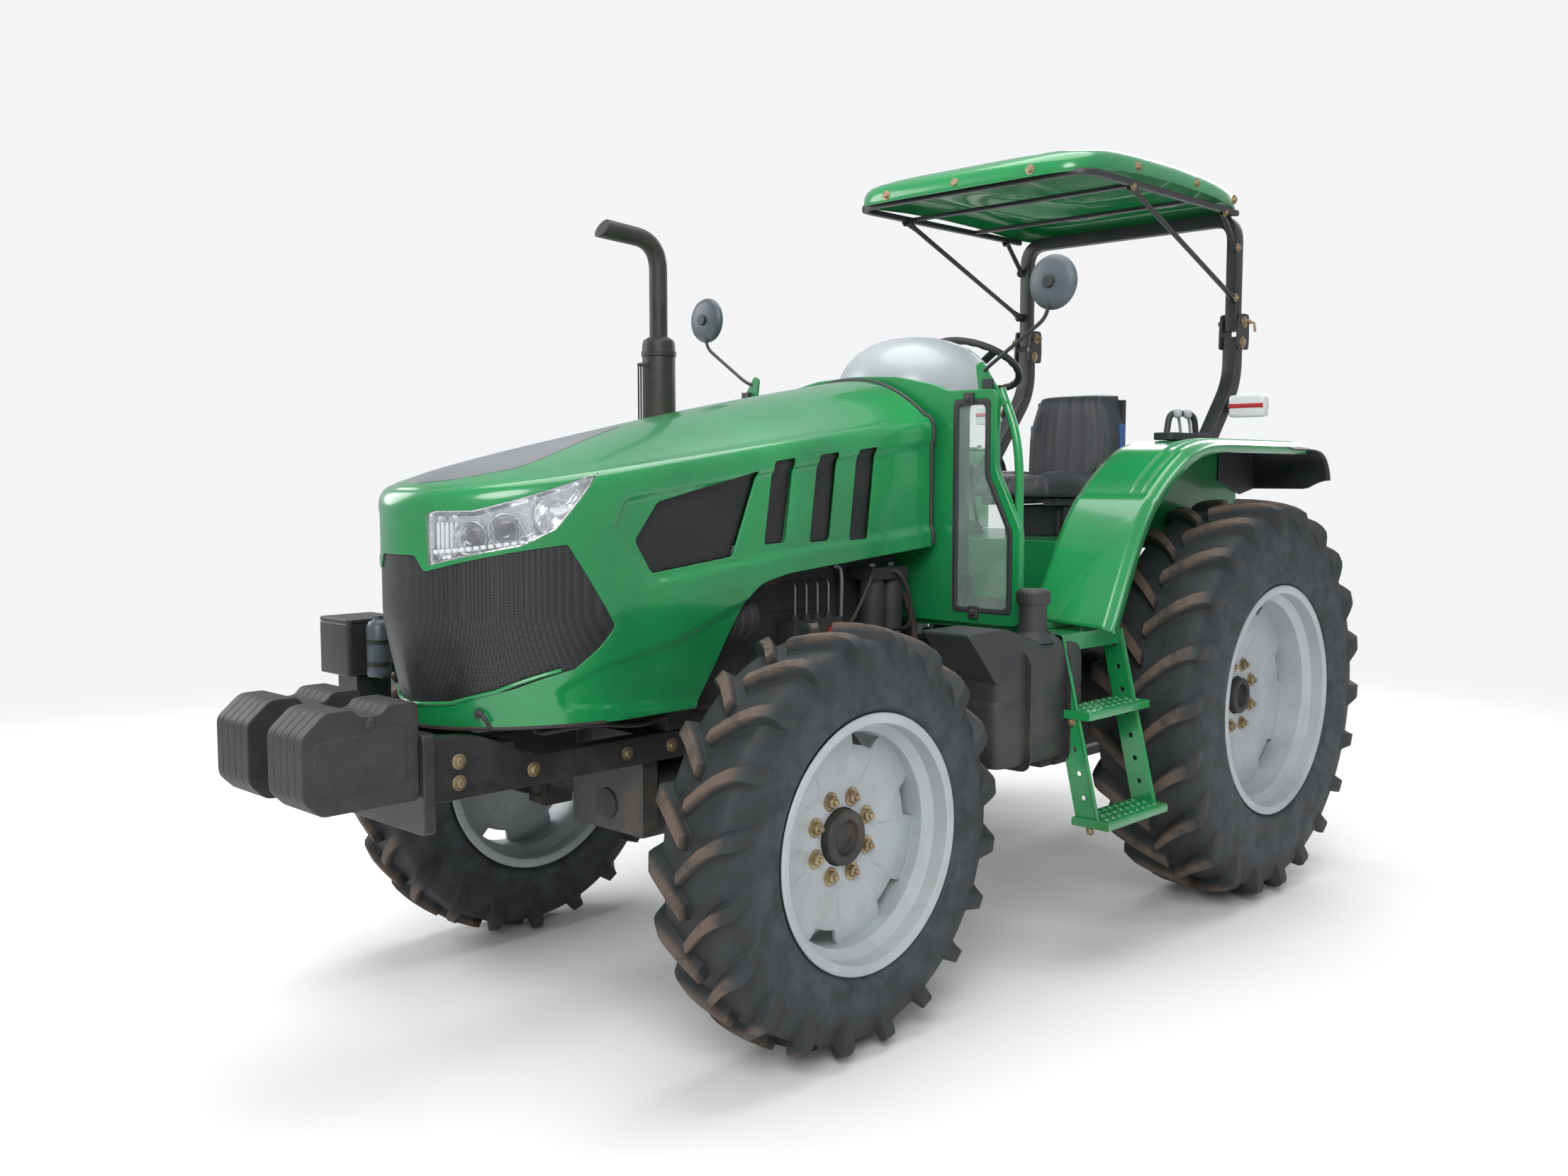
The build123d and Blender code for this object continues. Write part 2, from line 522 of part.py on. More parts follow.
# ---------------------------------------------------------------- bonnet
def hood_section(y, inset):
    """Bonnet cross-section at y: sides, shoulder corner and an arched top."""
    w, low = HOOD_HALF_W - inset, HOOD_LOW_HALF_W - inset
    seam = SEAM_Z + SEAM_SLOPE * (y - NOSE_Y) - inset
    crown = CROWN_Z + CROWN_SLOPE * (y - NOSE_Y) - inset
    right = [(low, HOOD_BOTTOM - 60), (w, 1290), (w, seam - 40), (w - 30, seam)]
    sides = Polyline(*[(x, y, z) for x, z in right])
    other = Polyline(*[(-x, y, z) for x, z in right])
    arc = ThreePointArc((w - 30, y, seam), (0, y, crown), (-w + 30, y, seam))
    base = Line((low, y, HOOD_BOTTOM - 60), (-low, y, HOOD_BOTTOM - 60))
    return make_face([*sides.edges(), *other.edges(), *arc.edges(), *base.edges()])


def hood_volume(inset):
    """Bonnet as a full body, pulled in by inset on the top, front and sides."""
    w, nose = HOOD_HALF_W - inset, NOSE_Y + inset
    straight_y = NOSE_Y + NOSE_REACH
    low = HOOD_BOTTOM - 60
    face = Pos(0, straight_y, low) * Ellipse(w, NOSE_REACH - inset)
    body = extrude(face, amount=HOOD_ROOM_Z - low) + block(-w, w, straight_y, HOOD_REAR, low, HOOD_ROOM_Z)
    front, rear = hood_section(NOSE_Y - 40, inset), hood_section(HOOD_REAR, inset)
    body &= loft([front, rear], ruled=True)
    profile = [(nose + CHIN_BACK, low), (nose + 12, 1290), (nose, 1420), (nose, 1598 - inset)]
    profile += [(nose + dy, SEAM_Z - inset + dz) for dy, dz in NOSE_LIP]
    profile += [(HOOD_REAR, HOOD_ROOM_Z), (HOOD_REAR, low)]
    return body & prism_x(profile, -HOOD_HALF_W - 5, HOOD_HALF_W + 5)


def build_hood():
    """One-piece bonnet shell with grille, side vents, lamps and top insert."""
    solid = hood_volume(0)
    shell = solid - hood_volume(HOOD_WALL)
    side = HOOD_HALF_W + 5
    shell -= prism_x(ARCH_LINE, -side, side)
    for s in (-1, 1):
        x0, x1 = s * (HOOD_HALF_W - PANEL_SINK), s * side
        shell -= prism_x(PANEL_LINE, min(x0, x1), max(x0, x1))
    panel = hood_volume(GRILLE_IN[0]) - hood_volume(GRILLE_IN[1])
    window = hood_volume(MESH_IN[0]) - hood_volume(MESH_IN[1])
    lens = hood_volume(LENS_IN) - hood_volume(HOOD_WALL)
    mesh, lamps = [], []
    for hole in side_windows():
        mesh += solids_of(window & hole)
        shell -= hole
    add("grille_mesh", panel & grille_region())
    shell -= grille_region()
    for hole in lamp_regions():
        lamps += solids_of(lens & hole)
        shell -= hole
    for s in (-1, 1):
        x0, x1 = s * HOOD_EAR_X[0], s * HOOD_EAR_X[1]
        ear = block(x0, x1, HOOD_HINGE_Y - 14, HOOD_HINGE_Y + 8, HOOD_HINGE_Z - 12, HOOD_HINGE_Z + 60)
        shell += ear & hood_volume(2)
        shell -= rod((x0 - s, HOOD_HINGE_Y, HOOD_HINGE_Z), (x1 + s, HOOD_HINGE_Y, HOOD_HINGE_Z),
                     HOOD_PIN_R + RUN)
    drop = make_face(FilletPolyline(*[(x, y, 1500) for x, y in INSERT_PLAN], radius=45, close=True))
    teardrop = extrude(drop, amount=700, dir=(0, 0, 1))
    under = hood_volume(INSERT_T)
    shell -= teardrop & (solid - under)
    add("hood_insert", teardrop & (hood_volume(1) - under))
    add("hood_mesh", Compound(mesh))
    add("headlamps", Compound(lamps))
    add("hood_shell", shell)


def side_windows():
    """Cutters for the hexagonal vent and three slanted slots on each side."""
    outlines = [VENT_LINE]
    for y in SLOT_Y:
        rise = 0.1 * (y - SLOT_Y[0])
        outlines.append([(y - 50, SLOT_Z + 130 + rise), (y + 48, SLOT_Z + 142 + rise),
                         (y + 8, SLOT_Z - 130), (y - 90, SLOT_Z - 134)])
    cutters = []
    for side in (-1, 1):
        for outline in outlines:
            cutters.append(prism_x(outline, side * (HOOD_HALF_W - 60), side * (HOOD_HALF_W + 20)))
    return cutters


def grille_region():
    """Cutter for the grille that wraps the nose under the lamps."""
    outline = GRILLE_FRONT + [(-x, z) for x, z in reversed(GRILLE_FRONT[1:-1])]
    return prism_y(outline, NOSE_Y - 142, NOSE_Y + 558) & prism_x(GRILLE_SIDE, -500, 500)


def lamp_regions():
    """Cutters for the two headlamps that sweep back from the nose."""
    one = prism_y(LAMP_FRONT, NOSE_Y - 142, NOSE_Y + 558) & prism_x(LAMP_SIDE, 100, 500)
    return [one, mirror(one, Plane.YZ)]


# ---------------------------------------------------------------- station
def steps(side):
    """Two-tread ladder hung under the floor's edge."""
    ladder = block(side * 700, side * 880, STEP_Y0, STEP_Y1, FLOOR_Z - FLOOR_T - 35, FLOOR_Z - FLOOR_T)
    outline = [(side * x, z) for x, z in STEP_SIDE]
    for y0 in (STEP_Y0, STEP_Y1 - STEP_PLATE):
        ladder += prism_y(outline, y0, y0 + STEP_PLATE)
    for x0, x1, z in STEP_TREADS:
        ladder += block(side * x0, side * x1, STEP_Y0, STEP_Y1, z - 22, z)
    return ladder


def build_station():
    """Floor, cowl with its side screens, dash dome, steering wheel and seat."""
    floor = block(-COWL_HALF_W, COWL_HALF_W, COWL_FRONT + COWL_T, -930, FLOOR_Z - FLOOR_T, FLOOR_Z)
    floor += block(-FENDER_IN, FENDER_IN, COWL_FRONT + COWL_T, RISER_Y, FLOOR_Z - FLOOR_T, FLOOR_Z)
    riser = block(-FENDER_IN, FENDER_IN, RISER_Y - FLOOR_T, RISER_Y, FLOOR_Z, DECK_Z)
    deck = block(-FENDER_IN, FENDER_IN, RISER_Y, DECK_REAR, DECK_Z - FLOOR_T, DECK_Z)
    for side in (-1, 1):
        x0, x1 = side * (POST_X - POST_W / 2 - 10), side * (POST_X + POST_W / 2 + 10)
        deck -= block(x0, x1, -POST_D / 2 - 10, POST_D / 2 + 10, DECK_Z - 50, DECK_Z + 1)
    platform = floor + riser + deck
    for side in (-1, 1):
        for yy in (-1150, -600):
            platform += rod((side * 140, yy, GEARBOX_TOP), (side * 140, yy, FLOOR_Z - FLOOR_T), 38)
        for yy in (-180, 100):
            platform += rod((side * 170, yy, AXLE_BOX_TOP), (side * 170, yy, DECK_Z - FLOOR_T), 38)
    platform += block(-150, 150, -120, 200, DECK_Z, DECK_Z + SEAT_STEP - 40)
    for side in (-1, 1):
        platform += steps(side)
    add("platform", platform)

    side = [(COWL_HALF_W, COWL_BOTTOM), (COWL_HALF_W, 1500), (645, 1700), (645, 1985), (430, 1985),
            (380, COWL_TOP), (0, COWL_TOP)]
    outline = side + [(-x, z) for x, z in reversed(side[:-1])]
    cowl = prism_y(outline, COWL_FRONT, COWL_FRONT + COWL_T)
    glass = [(478, 1216), (699, 1216), (699, 1486), (602, 1686), (602, 1934), (478, 1934)]
    window = [(462, 1200), (715, 1200), (715, 1490), (618, 1690), (618, 1950), (462, 1950)]
    for s in (-1, 1):
        cowl -= prism_y([(s * x, z) for x, z in window], COWL_FRONT - 1, COWL_FRONT + COWL_T + 1)
    cowl += block(-230, 230, COWL_FRONT + COWL_T, PEDESTAL_REAR, FLOOR_Z, COWL_TOP)
    for s in (-1, 1):
        x0, x1 = s * HOOD_BRACKET_X[0], s * HOOD_BRACKET_X[1]
        y, z = HOOD_HINGE_Y, HOOD_HINGE_Z
        cowl += block(x0, x1, y - 10, COWL_FRONT, z - 38, z - 4)
        cowl += rod((x0, y, z), (x1, y, z), 10)
        cowl += rod((x0, y, z), (s * (HOOD_EAR_X[1] + 3), y, z), HOOD_PIN_R)
        rail = [(s * 712, COWL_FRONT + 35, 1230), (s * 706, COWL_FRONT + 35, 1800),
                (s * 640, COWL_FRONT + 35, 1975)]
        cowl += bent_tube(rail, 14, 120)
        cowl += prism_y([(s * 625, 1880), (s * 650, 1960), (s * 560, 2075), (s * 540, 2060), (s * 560, 1960)],
                        COWL_FRONT + COWL_T - 8, COWL_FRONT + COWL_T)
    add("cowl", cowl)
    frame = prism_y(window, COWL_FRONT + 4, COWL_FRONT + COWL_T - 10)
    frame -= prism_y(glass, COWL_FRONT + 3, COWL_FRONT + COWL_T - 3)
    add("shield_frames", both(frame))
    add("shield_glass", both(prism_y(glass, COWL_FRONT + 12, COWL_FRONT + 18)))

    tilt = math.radians(WHEEL_TILT)
    axis = Vector(0, math.sin(tilt), math.cos(tilt))
    centre = Vector(*WHEEL_CENTRE)
    dome = Pos(0, DOME_Y, COWL_TOP) * scale(Sphere(1.0), by=(300, 330, 225))
    dome &= block(-400, 400, COWL_FRONT + 5, DOME_Y + 280, COWL_TOP, COWL_TOP + 300)
    foot = centre - axis * 420
    head = centre - axis * 60
    dome -= rod(tuple(foot), tuple(head), COLUMN_R + GAP)
    add("instrument_dome", dome)
    column = rod(tuple(foot), tuple(head), COLUMN_R)
    column -= rod(tuple(centre - axis * 190), tuple(centre), SHAFT_TOP_R + RUN)
    column += block(-30, 30, PEDESTAL_REAR, foot.Y + 10, foot.Z - 40, foot.Z + 20)
    column &= block(-100, 100, PEDESTAL_REAR, 0, 1000, 2500)
    add("steering_column", column)

    grip = revolve(Plane.XZ * Pos(WHEEL_RING_R, 0) * RegularPolygon(16, 8), Axis.Z)
    wheel = Plane(origin=centre, z_dir=axis) * grip
    wheel += rod(tuple(centre - axis * 180), tuple(centre), SHAFT_TOP_R)
    wheel += rod(tuple(centre - axis * 20), tuple(centre + axis * 12), 42)
    for angle in (90, 210, 330):
        turn = math.radians(angle)
        tip = Plane(origin=centre, z_dir=axis) * Pos(WHEEL_RING_R * math.cos(turn),
                                                     WHEEL_RING_R * math.sin(turn), 0)
        wheel += rod(tuple(centre), tuple(tip.position), 9)
    add("steering_wheel", wheel)

    base = DECK_Z + SEAT_STEP
    add("seat_frame", block(-200, 200, -250, 220, base - 40 + GAP, base))
    cushion = [(190, base), (190, base + 100), (-240, base + 100), (-300, base + 50), (-300, base)]
    add("seat_cushion", prism_x(cushion, -SEAT_HALF_W, SEAT_HALF_W))
    back = [(-SEAT_HALF_W, base), (SEAT_HALF_W, base), (SEAT_HALF_W, base + 250), (170, SEAT_TOP - 30),
            (130, SEAT_TOP), (-130, SEAT_TOP), (-170, SEAT_TOP - 30), (-SEAT_HALF_W, base + 250)]
    add("seat_back", prism_y(back, 195, 290))


def fender_body(x0, x1, dy=0.0, dz=0.0):
    """Solid under the fender's profile, between two X planes, shifted by dy and dz."""
    points = [(x0, y + dy, z + dz) for y, z in FENDER_LINE]
    wire = FilletPolyline(*points, radius=[1, 420, 260, 1, 1, 1, 1], close=True)
    return extrude(make_face(wire), amount=x1 - x0, dir=(1, 0, 0))


def build_body():
    """Fenders, flaps, tank, exhaust, mirrors, lamps and hand controls."""
    t = FENDER_T
    fender = fender_body(FENDER_IN, FENDER_OUT)
    fender -= fender_body(FENDER_IN + 6, FENDER_OUT - 6, 0.7 * t, -t)
    fender -= fender_body(FENDER_OUT - 7, FENDER_OUT + 1, 30, -42)
    for x in RIB_X:
        fender += fender_body(x, x + 14, -6, 8) - fender_body(x - 1, x + 15)
    fender -= block(FENDER_IN - 1, FENDER_OUT + 1, -1200, -700, 1100, FLOOR_Z)
    add("fenders", both(fender))
    path = [(480, FENDER_TOP), (580, FENDER_TOP - 30), (625, FENDER_TOP - 190)]
    inner = [(y - 7, z - t) for y, z in reversed(path[1:])] + [(480, FENDER_TOP - t)]
    flap = prism_x(path + inner, FENDER_IN, FENDER_OUT + 45)
    flap += prism_x(path + [(480, FENDER_TOP - 190)], FENDER_IN, FENDER_IN + 6)
    add("fender_flaps", both(flap))

    plan = [(640, TANK_FRONT + 60), (700, TANK_FRONT), (900, TANK_FRONT), (900, -1245), (785, -1245),
            (785, -1045), (640, -1045)]
    tank = prism_z(plan, TANK_Z, 1098)
    tank += prism_x([(TANK_FRONT, 1010), (TANK_FRONT - 170, 1190), (TANK_FRONT + 60, 1190),
                     (TANK_FRONT + 60, 1010)], 690, 880)
    tank += prism_x([(TANK_FRONT, 1097), (TANK_FRONT, 1190), (-1370, 1190), (-1320, 1150), (-1245, 1097)],
                    690, 900)
    tank += rod((820, -1320, 1140), (820, -1320, 1262), 44)
    tank += rod((820, -1320, 1262), (820, -1320, 1302), 56)
    add("fuel_tank", tank)

    x, y = EXHAUST_X, EXHAUST_Y
    muffler = rod((x, y, 1440), (x, y, 2200), 62)
    pipe = bent_tube([(x, y, 2200), (x, y, 2560), (x, y - 270, 2575)], 34, 110)
    elbow = bent_tube([(-ENGINE_HALF_W, y, 1300), (x, y, 1300), (x, y, 1441)], 40, 90)
    manifold = block(-ENGINE_HALF_W - 70, -ENGINE_HALF_W, y - 260, y + 260, 1256, 1344)
    add("exhaust", muffler + pipe + elbow + manifold)

    y0 = COWL_FRONT + 12
    arm = block(585, 615, y0 - 9, y0 + 8, 1985, 2003)
    arm += chain([(600, y0, 2000), (600, y0, 2060), (845, y0, 2225), (850, y0, 2330)], 7)
    head = rod((850, y0 - 22, 2330), (850, y0 + 14, 2330), 92)
    add("mirrors", both(arm + head))

    lamp = block(585, 602, 520, 552, 1965, 2000) + block(602, 765, 505, 565, 1935, 2035)
    add("rear_lamps", both(lamp))

    console = block(700, 790, -330, -20, FENDER_TOP, FENDER_TOP + 38)
    console += chain([(745, -60, FENDER_TOP + 20), (745, -85, FENDER_TOP + 115),
                      (745, -265, FENDER_TOP + 115), (745, -290, FENDER_TOP + 20)], 13)
    hand = [*solids_of(both(console))]
    for x, y in ((-330, -60), (330, -60)):
        lever = rod((x, y, DECK_Z), (x, y, DECK_Z + 40), 16)
        lever += rod((x, y, DECK_Z + 25), (x, y - 60, DECK_Z + 280), 9)
        lever += rod((x, y - 58, DECK_Z + 270), (x, y - 64, DECK_Z + 312), 22)
        hand += solids_of(lever)
    for x in (-320, 290, 400):
        hand += solids_of(block(x - 35, x + 35, -1150, -1130, FLOOR_Z, FLOOR_Z + 160))
    add("controls", Compound(hand))


# ---------------------------------------------------------------- roll-over frame and canopy
def build_rops():
    """Roll-over posts, the folding arch with its struts, and the canopy."""
    foot_z = REAR.tyre_r + 160
    x0, x1 = POST_X - POST_W / 2, POST_X + POST_W / 2
    d = POST_D / 2
    line = [(0, foot_z), (0, 1500), (300, 1700), (POST_Y, 2100), (POST_Y, FOLD_Z - 65)]
    front = [(y - d, z) for y, z in line]
    back = [(y + d, z) for y, z in reversed(line)]
    lower = prism_x(front + back, x0, x1)
    for a, b in ((x0 - FOLD_PLATE, x0), (x1, x1 + FOLD_PLATE)):
        lower += block(a, b, POST_Y - d - 10, POST_Y + d + 35, FOLD_Z - 120, FOLD_Z + 40)
    lower += rod((x0 - FOLD_PLATE, FOLD_Y, FOLD_Z), (x1 + FOLD_PLATE, FOLD_Y, FOLD_Z), FOLD_PIN_R)
    add("rops_lower", both(lower))

    upper = block(x0 + FACE_GAP, x1 - FACE_GAP, POST_Y - d, POST_Y + d, FOLD_Z - 45, CANOPY_Z - 60)
    upper -= rod((x0, FOLD_Y, FOLD_Z), (x1, FOLD_Y, FOLD_Z), FOLD_PIN_R + RUN)
    arch = both(upper).solids()
    beam = block(-x1, x1, POST_Y - d, POST_Y + d, CANOPY_Z - 60, CANOPY_Z)
    beam += block(-RAIL_OUT, RAIL_OUT, CANOPY_Y0 + 50, CANOPY_Y0 + 80, CANOPY_Z - 30, CANOPY_Z)
    for side in (-1, 1):
        rail_x = side * (RAIL_OUT - 30)
        beam += block(rail_x, side * RAIL_OUT, CANOPY_Y0 + 50, POST_Y, CANOPY_Z - 30, CANOPY_Z)
        beam += rod((side * POST_X, POST_Y, FOLD_Z + 130), (side * POST_X, -300, CANOPY_Z - 15), 11)
        beam += rod((side * POST_X, POST_Y, FOLD_Z + 330), (side * POST_X, POST_Y - 160, CANOPY_Z - 15), 11)
    for post in arch:
        beam += post
    add("rops_upper", beam)

    outer = canopy_body(0.0)
    add("canopy_shell", outer - canopy_body(CANOPY_WALL))


def canopy_cap(inset, y0, y1, levels):
    """Stack of rounded plans between y0 and y1; each level has a height and how much it shrinks."""
    sections = []
    for height, shrink in levels:
        lift = max(height - inset, 0.0) if height else -1.0 if inset else 0.0
        wide = 2 * (CANOPY_HALF_W - inset - shrink)
        long = y1 - y0 - 2 * (inset + shrink)
        corner = min(CANOPY_CORNER, 0.45 * min(wide, long))
        sections.append(Pos(0, (y0 + y1) / 2, CANOPY_Z + lift) * RectangleRounded(wide, long, corner))
    return loft(sections, ruled=True)


def canopy_body(inset):
    """Canopy as a full body: a rounded rim with a low front hump and a higher rear dome."""
    rim = canopy_cap(inset, CANOPY_Y0, CANOPY_Y1, ((0.0, 0.0), (22.0, 0.0), (70.0, 30.0), (108.0, 110.0)))
    front = canopy_cap(inset, CANOPY_Y0, CANOPY_STEP, ((60.0, 40.0), (110.0, 75.0), (132.0, 150.0)))
    rear = canopy_cap(inset, CANOPY_STEP - 90, CANOPY_Y1, ((60.0, 40.0), (130.0, 90.0), (172.0, 200.0),
                                                           (CANOPY_RISE, 330.0)))
    return rim + front + rear


# ---------------------------------------------------------------- write out
def main():
    """Build every piece and write one STEP file for each node."""
    build_wheels()
    build_front_axle()
    build_backbone()
    build_hitch()
    build_hood()
    build_station()
    build_body()
    build_rops()
    os.makedirs("parts", exist_ok=True)
    for name, shape in PARTS.items():
        export_step(Pos(0, Y_SHIFT, 0) * shape, f"parts/{name}.step")


main()
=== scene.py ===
"""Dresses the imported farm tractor: wheels, bonnet, canopy, seat, station and stage.

Laid out as an add-on whose operators each make one piece or one group of like
pieces, and run as a script. Lengths are metres. The front faces -Y, the left
side is +X and +Z is up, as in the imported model.
"""
import json
import math
import bmesh
import bpy
import numpy as np
from mathutils import Matrix, Vector


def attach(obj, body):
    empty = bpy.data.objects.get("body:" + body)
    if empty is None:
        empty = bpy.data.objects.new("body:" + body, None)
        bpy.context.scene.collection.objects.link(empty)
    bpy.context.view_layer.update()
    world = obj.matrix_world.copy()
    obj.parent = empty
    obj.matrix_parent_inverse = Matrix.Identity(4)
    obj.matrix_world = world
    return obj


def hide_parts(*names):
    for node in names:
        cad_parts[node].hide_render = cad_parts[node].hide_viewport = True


bl_info = {
    "name": "Tractor Dresser",
    "version": (1, 0, 0),
    "blender": (4, 5, 0),
    "location": "3D View > Sidebar > Tractor",
    "description": "Builds the visible pieces and finishes of a farm tractor round its packed frame",
    "category": "Add Mesh",
}

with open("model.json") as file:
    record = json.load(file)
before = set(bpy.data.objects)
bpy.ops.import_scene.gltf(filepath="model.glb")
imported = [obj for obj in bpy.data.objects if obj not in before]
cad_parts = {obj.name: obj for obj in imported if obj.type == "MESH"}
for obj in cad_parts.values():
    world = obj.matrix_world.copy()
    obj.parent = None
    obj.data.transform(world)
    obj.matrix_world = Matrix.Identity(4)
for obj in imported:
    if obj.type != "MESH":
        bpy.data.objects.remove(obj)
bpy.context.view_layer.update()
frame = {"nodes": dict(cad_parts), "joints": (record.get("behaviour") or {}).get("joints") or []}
JOINTS = {joint["name"]: joint for joint in frame["joints"]}
AXLE_Y = JOINTS["rear_left_spin"]["pos_m"][1]
TAU = 2 * math.pi
CAMERA_AT, CAMERA_DIP, CAMERA_TURN, CAMERA_LENS = (3.475, -3.9635, 1.690), 0.082, 0.767, 31.886
FLOOR_TOP, DECK_TOP, FENDER_TOP = 1.165, 1.420, 1.822
EXHAUST_X, EXHAUST_Y, MIRROR_X, MIRROR_Z = -0.530, -1.820, 0.850, 2.330


# ------------------------------------------------------------ surface helpers
def unit(v):
    """Each vector divided by its length."""
    return v / np.maximum(np.linalg.norm(v, axis=-1, keepdims=True), 1e-12)


def smooth_curve(points, n):
    """Catmull-Rom curve through the points, at n even steps of the parameter."""
    p = np.asarray(points, float)
    p = np.vstack([2 * p[0] - p[1], p, 2 * p[-1] - p[-2]])
    t = np.linspace(0, len(p) - 3, n)
    i = np.minimum(t.astype(int), len(p) - 4)
    f = (t - i)[:, None]
    a, b, c, d = p[i], p[i + 1], p[i + 2], p[i + 3]
    return 0.5 * (2 * b + (c - a) * f + (2 * a - 5 * b + 4 * c - d) * f ** 2
                  + (3 * b - a - 3 * c + d) * f ** 3)


def rounded(points, radius, steps=5, closed=True):
    """Corners of a flat outline replaced by quadratic arcs that start radius before each corner."""
    p = np.asarray(points, float)
    before, after = np.roll(p, 1, 0), np.roll(p, -1, 0)
    reach_a = np.minimum(radius, 0.45 * np.linalg.norm(before - p, axis=1))[:, None]
    reach_b = np.minimum(radius, 0.45 * np.linalg.norm(after - p, axis=1))[:, None]
    a, b = p + unit(before - p) * reach_a, p + unit(after - p) * reach_b
    t = np.linspace(0, 1, steps)[None, :, None]
    arcs = (1 - t) ** 2 * a[:, None] + 2 * t * (1 - t) * p[:, None] + t ** 2 * b[:, None]
    if closed:
        return arcs.reshape(-1, p.shape[1])
    return np.vstack([p[:1], arcs[1:-1].reshape(-1, p.shape[1]), p[-1:]])


def span(side, a, b):
    """Two distances from the middle as places on one side of the tractor, the lower one first."""
    return sorted((side * a, side * b))


class Form:
    """Points and faces of one piece, gathered from surfaces worked out as arrays."""

    def __init__(self):
        self.points, self.faces, self.count = [], [], 0

    def add(self, points, faces):
        """Points of any grid shape, with face arrays that number them from zero."""
        points = np.asarray(points, float).reshape(-1, 3)
        self.faces += [np.asarray(f, int) + self.count for f in faces]
        self.points.append(points)
        self.count += len(points)
        return self

    def grid(self, points, wrap_rows=False, wrap_cols=False):
        """Quads between neighbouring rows and columns, wrapping round where asked."""
        rows, cols = points.shape[:2]
        r = np.arange(rows if wrap_rows else rows - 1)[:, None]
        c = np.arange(cols if wrap_cols else cols - 1)[None, :]
        r2, c2 = (r + 1) % rows, (c + 1) % cols
        quads = np.stack([r * cols + c, r * cols + c2, r2 * cols + c2, r2 * cols + c], -1)
        return self.add(points, [quads.reshape(-1, 4)])

    def tube(self, points):
        """Rows closed round their columns, with a flat cap on the first and last row."""
        rows, cols = points.shape[:2]
        start = self.count
        self.grid(points, wrap_cols=True)
        ring = np.arange(cols)[None]
        self.faces += [start + ring[:, ::-1], start + (rows - 1) * cols + ring]
        return self

    def bar(self, path, radius, sides=12):
        """Round bar: a circle of the given radius in the plane across each path point."""
        path = np.asarray(path, float)
        radius = np.broadcast_to(np.asarray(radius, float), len(path))[:, None, None]
        along = unit(np.gradient(path, axis=0))
        ref = np.eye(3)[np.argmin(np.abs(along).max(0))]
        side = unit(np.cross(along, ref))
        other = np.cross(side, along)
        turn = np.linspace(0, TAU, sides, endpoint=False)[None, :, None]
        ring = np.cos(turn) * side[:, None] + np.sin(turn) * other[:, None]
        return self.tube(path[:, None] + radius * ring)

    def turned(self, profile, centre, axis=(1, 0, 0), steps=48, phase=0.0):
        """Open profile of (distance along the axis, radius) turned about it; ends at radius 0 close."""
        axis = unit(np.asarray(axis, float))
        ref = np.eye(3)[np.argmin(np.abs(axis))]
        side = unit(np.cross(axis, ref))
        other = np.cross(axis, side)
        a = np.linspace(0, TAU, steps, endpoint=False)[:, None, None] + phase
        prof = np.asarray(profile, float)
        ring = np.cos(a) * side + np.sin(a) * other
        points = np.asarray(centre, float) + prof[None, :, :1] * axis + prof[None, :, 1:] * ring
        return self.grid(points, wrap_rows=True)

    def prism(self, outline, axis, low, high):
        """Flat outline carried from low to high along an axis (0, 1 or 2)."""
        outline = np.asarray(outline, float)
        others = [k for k in range(3) if k != axis]
        ends = np.zeros((2, len(outline), 3))
        ends[:, :, others] = outline
        ends[0, :, axis], ends[1, :, axis] = low, high
        return self.tube(ends)

    def box(self, low, high):
        """Block between two corners."""
        (x0, y0, z0), (x1, y1, z1) = low, high
        return self.prism([(x0, y0), (x1, y0), (x1, y1), (x0, y1)], 2, z0, z1)

    def pebble(self, centre, half, power=0.35, rows=18, cols=28):
        """Rounded block: a sphere whose sines and cosines are raised to a power below 1."""
        u = np.linspace(-math.pi / 2, math.pi / 2, rows)[:, None]
        v = np.linspace(0, TAU, cols, endpoint=False)[None]
        bend = lambda t: np.sign(t) * np.abs(t) ** power
        x, y = bend(np.cos(u)) * bend(np.cos(v)), bend(np.cos(u)) * bend(np.sin(v))
        z = bend(np.sin(u)) * np.ones_like(v)
        return self.grid(np.asarray(centre) + np.stack([x, y, z], -1) * np.asarray(half), wrap_cols=True)

    def mirrored(self):
        """The same form and its mirror image in X."""
        points, faces, n = list(self.points), list(self.faces), self.count
        for block in points:
            self.points.append(block * (-1, 1, 1))
        for block in faces:
            self.faces.append(block[:, ::-1] + n)
        self.count *= 2
        return self

    def mesh(self, name="form"):
        """One mesh with doubles merged and faces turned outwards."""
        mesh = bpy.data.meshes.new(name)
        mesh.from_pydata(np.concatenate(self.points).tolist(), [],
                         [face for block in self.faces for face in block.tolist()])
        work = bmesh.new()
        work.from_mesh(mesh)
        bmesh.ops.remove_doubles(work, verts=work.verts, dist=2e-6)
        bmesh.ops.recalc_face_normals(work, faces=work.faces)
        work.to_mesh(mesh)
        work.free()
        return mesh


def linked(name, mesh):
    """Mesh as an object in the scene, at the origin."""
    obj = bpy.data.objects.new(name, mesh)
    bpy.context.scene.collection.objects.link(obj)
    return obj


def settled(obj):
    """The object's mesh with its modifiers applied; the object is removed."""
    bpy.context.view_layer.update()
    graph = bpy.context.evaluated_depsgraph_get()
    mesh = bpy.data.meshes.new_from_object(obj.evaluated_get(graph))
    bpy.data.objects.remove(obj)
    return mesh


